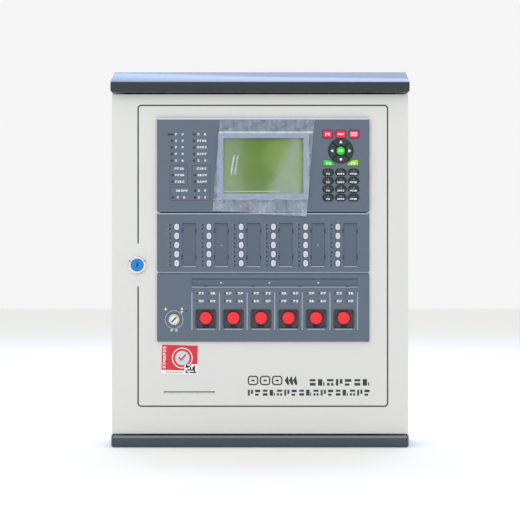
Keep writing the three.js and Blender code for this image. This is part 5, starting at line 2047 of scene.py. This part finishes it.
@dataclass
class Inside:
    """Power supply, batteries, switches, speaker and the back of the control board."""

    def build(self) -> None:
        """Dress the inside and add its details."""
        dress("chassis_plate", Finishes.zinc, 0.3)
        MainBoard().build()
        self.power_supply()
        self.batteries()
        self.switches()
        self.speaker()
        self.control_board()
        self.chassis_screws()

    def power_supply(self) -> None:
        """Perforated supply cover with its screws and plate."""
        dress("power_supply", Finishes.zinc, 0.4)
        low, high = box_mm("power_supply")
        pattern = screw("cover_screw", 0.0, 0.0, low.y, 3.0)
        inset = 7
        places = [(x, z) for x in (low.x + inset, high.x - inset) for z in (low.z + inset, high.z - inset)]
        repeated(pattern, "supply_screws", places, Finishes.nickel, "cabinet", "bright_metal")
        plate = block(
            "supply_plate", (low.x + 16, high.x - 16), (low.y - 0.15, low.y + EMBED),
            (low.z + 6, low.z + 24), 1.5, 0.1
        )
        fit_out(plate, Finishes.sticker, "cabinet", "white_paper")
        ink = MarkPrinter(low.y - 0.15, Finishes.ink_dark, 0.03)
        ink.row([(low.x + 20, low.z + 9 + 4.6 * i, 12 - 3 * i) for i in range(3)], 2.6, 2.8, 4)
        ink.finish_as("supply_plate_print", "cabinet")

    def batteries(self) -> None:
        """Sealed blocks with a lid seam and a plain plate."""
        for side in ("left", "right"):
            node = f"battery_{side}"
            dress(node, Finishes.battery_case, 1.2)
            low, high = box_mm(node)
            top = high.z - 5
            seam = block(
                f"{node}_lid", (low.x - 0.25, high.x + 0.25), (low.y - 0.25, high.y + 0.25),
                (top - 10, top - 8.6), 1.0, 0.2
            )
            fit_out(seam, Finishes.abs_black, "cabinet", "black_plastic")
            plate = block(
                f"{node}_plate", (low.x + 22, high.x - 22), (low.y - 0.2, low.y + EMBED),
                (low.z + 54, low.z + 78), 2.0, 0.1
            )
            fit_out(plate, Finishes.battery_plate, "cabinet", "white_paper")
            ink = MarkPrinter(low.y - 0.2, Finishes.ink_white, 0.04)
            ink.row([(low.x + 28, low.z + 66, 6)], 5.4, 6.2, 8.0)
            ink.row([(low.x + 28, low.z + 58, 14)], 2.8, 3.2, 4.4)
            ink.finish_as(f"{node}_print", "cabinet")
        dress("battery_strap", Finishes.zinc, 0.5)

    def switches(self) -> None:
        """Two rocker switches in their housing."""
        dress("switch_housing", Finishes.abs_black, 0.4)
        dress("mains_rocker", Finishes.abs_red, 0.5)
        dress("battery_rocker", Finishes.key_dark, 0.5)
        low, high = box_mm("switch_housing")
        ink = MarkPrinter(low.y, Finishes.ink_white, 0.04)
        ink.row([(low.x + 11, high.z - 5.2, 2), (low.x + 41, high.z - 5.2, 2)], 3.0, 3.0, 3.8)
        ink.finish_as("switch_marks", "cabinet")

    def speaker(self) -> None:
        """Round speaker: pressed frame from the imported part, paper cone, rubber roll and dust cap."""
        dress("speaker", Finishes.abs_black, 0.4)
        low, high = box_mm("speaker")
        centre = (low + high) / 2
        near = low.y
        cone = [
            (26.5, near + 1.3), (7.0, near + 10.5), (7.0, near + 11.0), (26.5, near + 1.9),
            (26.5, near + 1.3)
        ]
        fit_out(
            turned("speaker_cone", cone, centre.x, centre.z, 56), Finishes.cone_paper, "cabinet",
            "black_plastic"
        )
        roll = [
            (26.3 + 2.1 * math.cos(math.radians(a)), near + 1.4 - 1.2 * math.sin(math.radians(a)))
            for a in range(0, 181, 30)
        ]
        roll = [*roll, (24.2, near + 1.8), (28.4, near + 1.8), roll[0]]
        surround = turned("speaker_roll", roll, centre.x, centre.z, 56)
        fit_out(surround, Finishes.rubber, "cabinet", "dark_rubber")
        cap = [
            (8.5 * math.sin(math.radians(a)), near + 9.4 - 3.4 * math.cos(math.radians(a)))
            for a in range(0, 91, 18)
        ]
        cap += [(8.5, near + 10.2), (0.0, near + 10.2)]
        dust_cap = turned("speaker_dust_cap", cap, centre.x, centre.z, 40)
        fit_out(dust_cap, Finishes.cone_paper, "cabinet", "black_plastic")
        pattern = screw("speaker_screw", 0.0, 0.0, near, 2.4)
        reach = (-27.5, 27.5)
        places = [(centre.x + dx, centre.z + dz) for dx in reach for dz in reach]
        repeated(pattern, "speaker_screws", places, Finishes.nickel, "cabinet", "bright_metal")

    def control_board(self) -> None:
        """Back of the control board: its chips, a white connector and the solder joints."""
        dress("control_board", Finishes.solder_mask)
        back = -111.4
        chips = [
            block(
                "chip", (x - 0.15, x + w + 0.15), (back, back + rise + 0.15), (z - 0.15, z + h + 0.15), 0.5,
                0.0
            )
            for x, z, w, h, rise in ((-30, 60, 28, 28, 3), (30, 70, 18, 18, 3))
        ]
        fit_out(joined("control_chips", chips), Finishes.chip, "door", "black_plastic")
        sockets = [
            block("socket", (x - 0.15, x + w + 0.15), (back, back + 8.15), (z - 0.15, z + 9.15), 0.6, 0.0)
            for x, z, w in ((-90, 90, 40), (60, 120, 50))
        ]
        fit_out(joined("control_sockets", sockets), Finishes.cream, "door", "white_paper")
        joint = turned(
            "joint", [(0.0, 0.5), (0.35, 0.42), (0.8, 0.0), (0.8, -EMBED), (0.0, -EMBED)], 0.0, 0.0, 8
        )
        places = [(-100 + 12.4 * i, z) for z in (22.0, -10.0, -50.0, 150.0) for i in range(18)]
        repeated(joint, "control_solder_joints", places, Finishes.copper, "door", "bright_metal", back)

    def chassis_screws(self) -> None:
        """Screws that hold the chassis plate at its corners."""
        low, high = box_mm("chassis_plate")
        face = -9.5
        pattern = screw("chassis_screw", 0.0, 0.0, face, 3.6)
        places = [(x, z) for x in (low.x + 6, high.x - 6) for z in (low.z + 6, high.z - 5)]
        repeated(pattern, "chassis_screws", places, Finishes.nickel, "cabinet", "bright_metal")


# ---------------------------------------------------------------- studio
@dataclass
class Studio:
    """Pale floor, soft lights and a level camera square on to the front.

    Args:
        distance: camera to the plane of the front, in m.
        view_width: width of that plane that fills the picture, in m.
        aim: height that the camera looks at, in m.
        sensor: width of the camera's sensor, in mm.
    """

    distance: float = 2.5
    view_width: float = 0.662
    aim: float = -0.0019
    sensor: float = 36.0

    def build(self) -> None:
        """Set the floor, the world, the lights and the camera."""
        low = CAD_BOX[0]
        self.floor(low.z - mm(0.5))
        self.world()
        front = low.y
        self.light("key_light", (-0.9, front - 1.6, 1.5), (1.6, 1.2), 7.0)
        self.light("fill_light", (1.5, front - 1.5, 0.3), (1.4, 1.6), 0.5)
        self.light("top_light", (0.0, front - 0.25, 1.7), (2.0, 1.0), 4.0)
        self.light("sky_light", (0.0, 1.62, 2.02), (1.9, 1.5), 43.0, "#B4CFFC")
        camera = bpy.data.cameras.new("camera")
        camera.sensor_width = self.sensor
        camera.lens = self.sensor * self.distance / self.view_width
        camera.dof.use_dof = False
        camera.clip_end = 60
        holder = bpy.data.objects.new("camera", camera)
        holder.location = (0.0, front + mm(6.0) - self.distance, self.aim)
        holder.rotation_euler = (math.radians(90), 0.0, 0.0)
        bpy.context.scene.collection.objects.link(holder)
        bpy.context.scene.camera = holder
        bpy.context.scene.view_settings.view_transform = "Standard"

    def floor(self, height: float) -> None:
        """Lay a large pale floor under the object.

        Args:
            height: z of the floor in m.
        """
        deselect()
        bpy.ops.mesh.primitive_plane_add(size=14, location=(0, 0, height))
        floor = settle("floor")
        floor.data.materials.append(surface(Finishes.studio_floor))

    def world(self) -> None:
        """Even white surroundings."""
        world = bpy.data.worlds.new("studio")
        world.use_nodes = True
        bpy.context.scene.world = world
        background = world.node_tree.nodes["Background"]
        background.inputs["Color"].default_value = (1.0, 1.0, 1.0, 1.0)
        background.inputs["Strength"].default_value = 0.92

    def light(
        self, name: str, place: tuple[float, float, float], size: Span, power: float, tint: str = "#FFFFFF"
    ) -> None:
        """Add one soft rectangular light that looks at the object.

        Args:
            name: the light's name.
            place: its place in m.
            size: its width and height in m.
            power: its power in W.
            tint: its colour.
        """
        lamp_data = bpy.data.lights.new(name, "AREA")
        lamp_data.shape = "RECTANGLE"
        lamp_data.size, lamp_data.size_y = size
        lamp_data.energy = power
        lamp_data.color = srgb(tint)[:3]
        holder = bpy.data.objects.new(name, lamp_data)
        holder.location = place
        holder.rotation_euler = (-Vector(place)).to_track_quat("-Z", "Y").to_euler()
        bpy.context.scene.collection.objects.link(holder)


def main() -> None:
    """Build the panel, part by part, and light it."""
    logging.basicConfig(level=logging.INFO, format="%(name)s %(message)s")
    Studio().build()
    Cabinet().build()
    Door().build()
    dress("upper_fascia", Finishes.abs_blue_grey)
    for assembly in (
        Display(), Seams(), StatusLamps(), KeyPad(), ZonePanel(), ManualPanel(), Printer(), Inside()
    ):
        LOG.info("building %s", type(assembly).__name__)
        assembly.build()


if __name__ == "__main__":
    main()
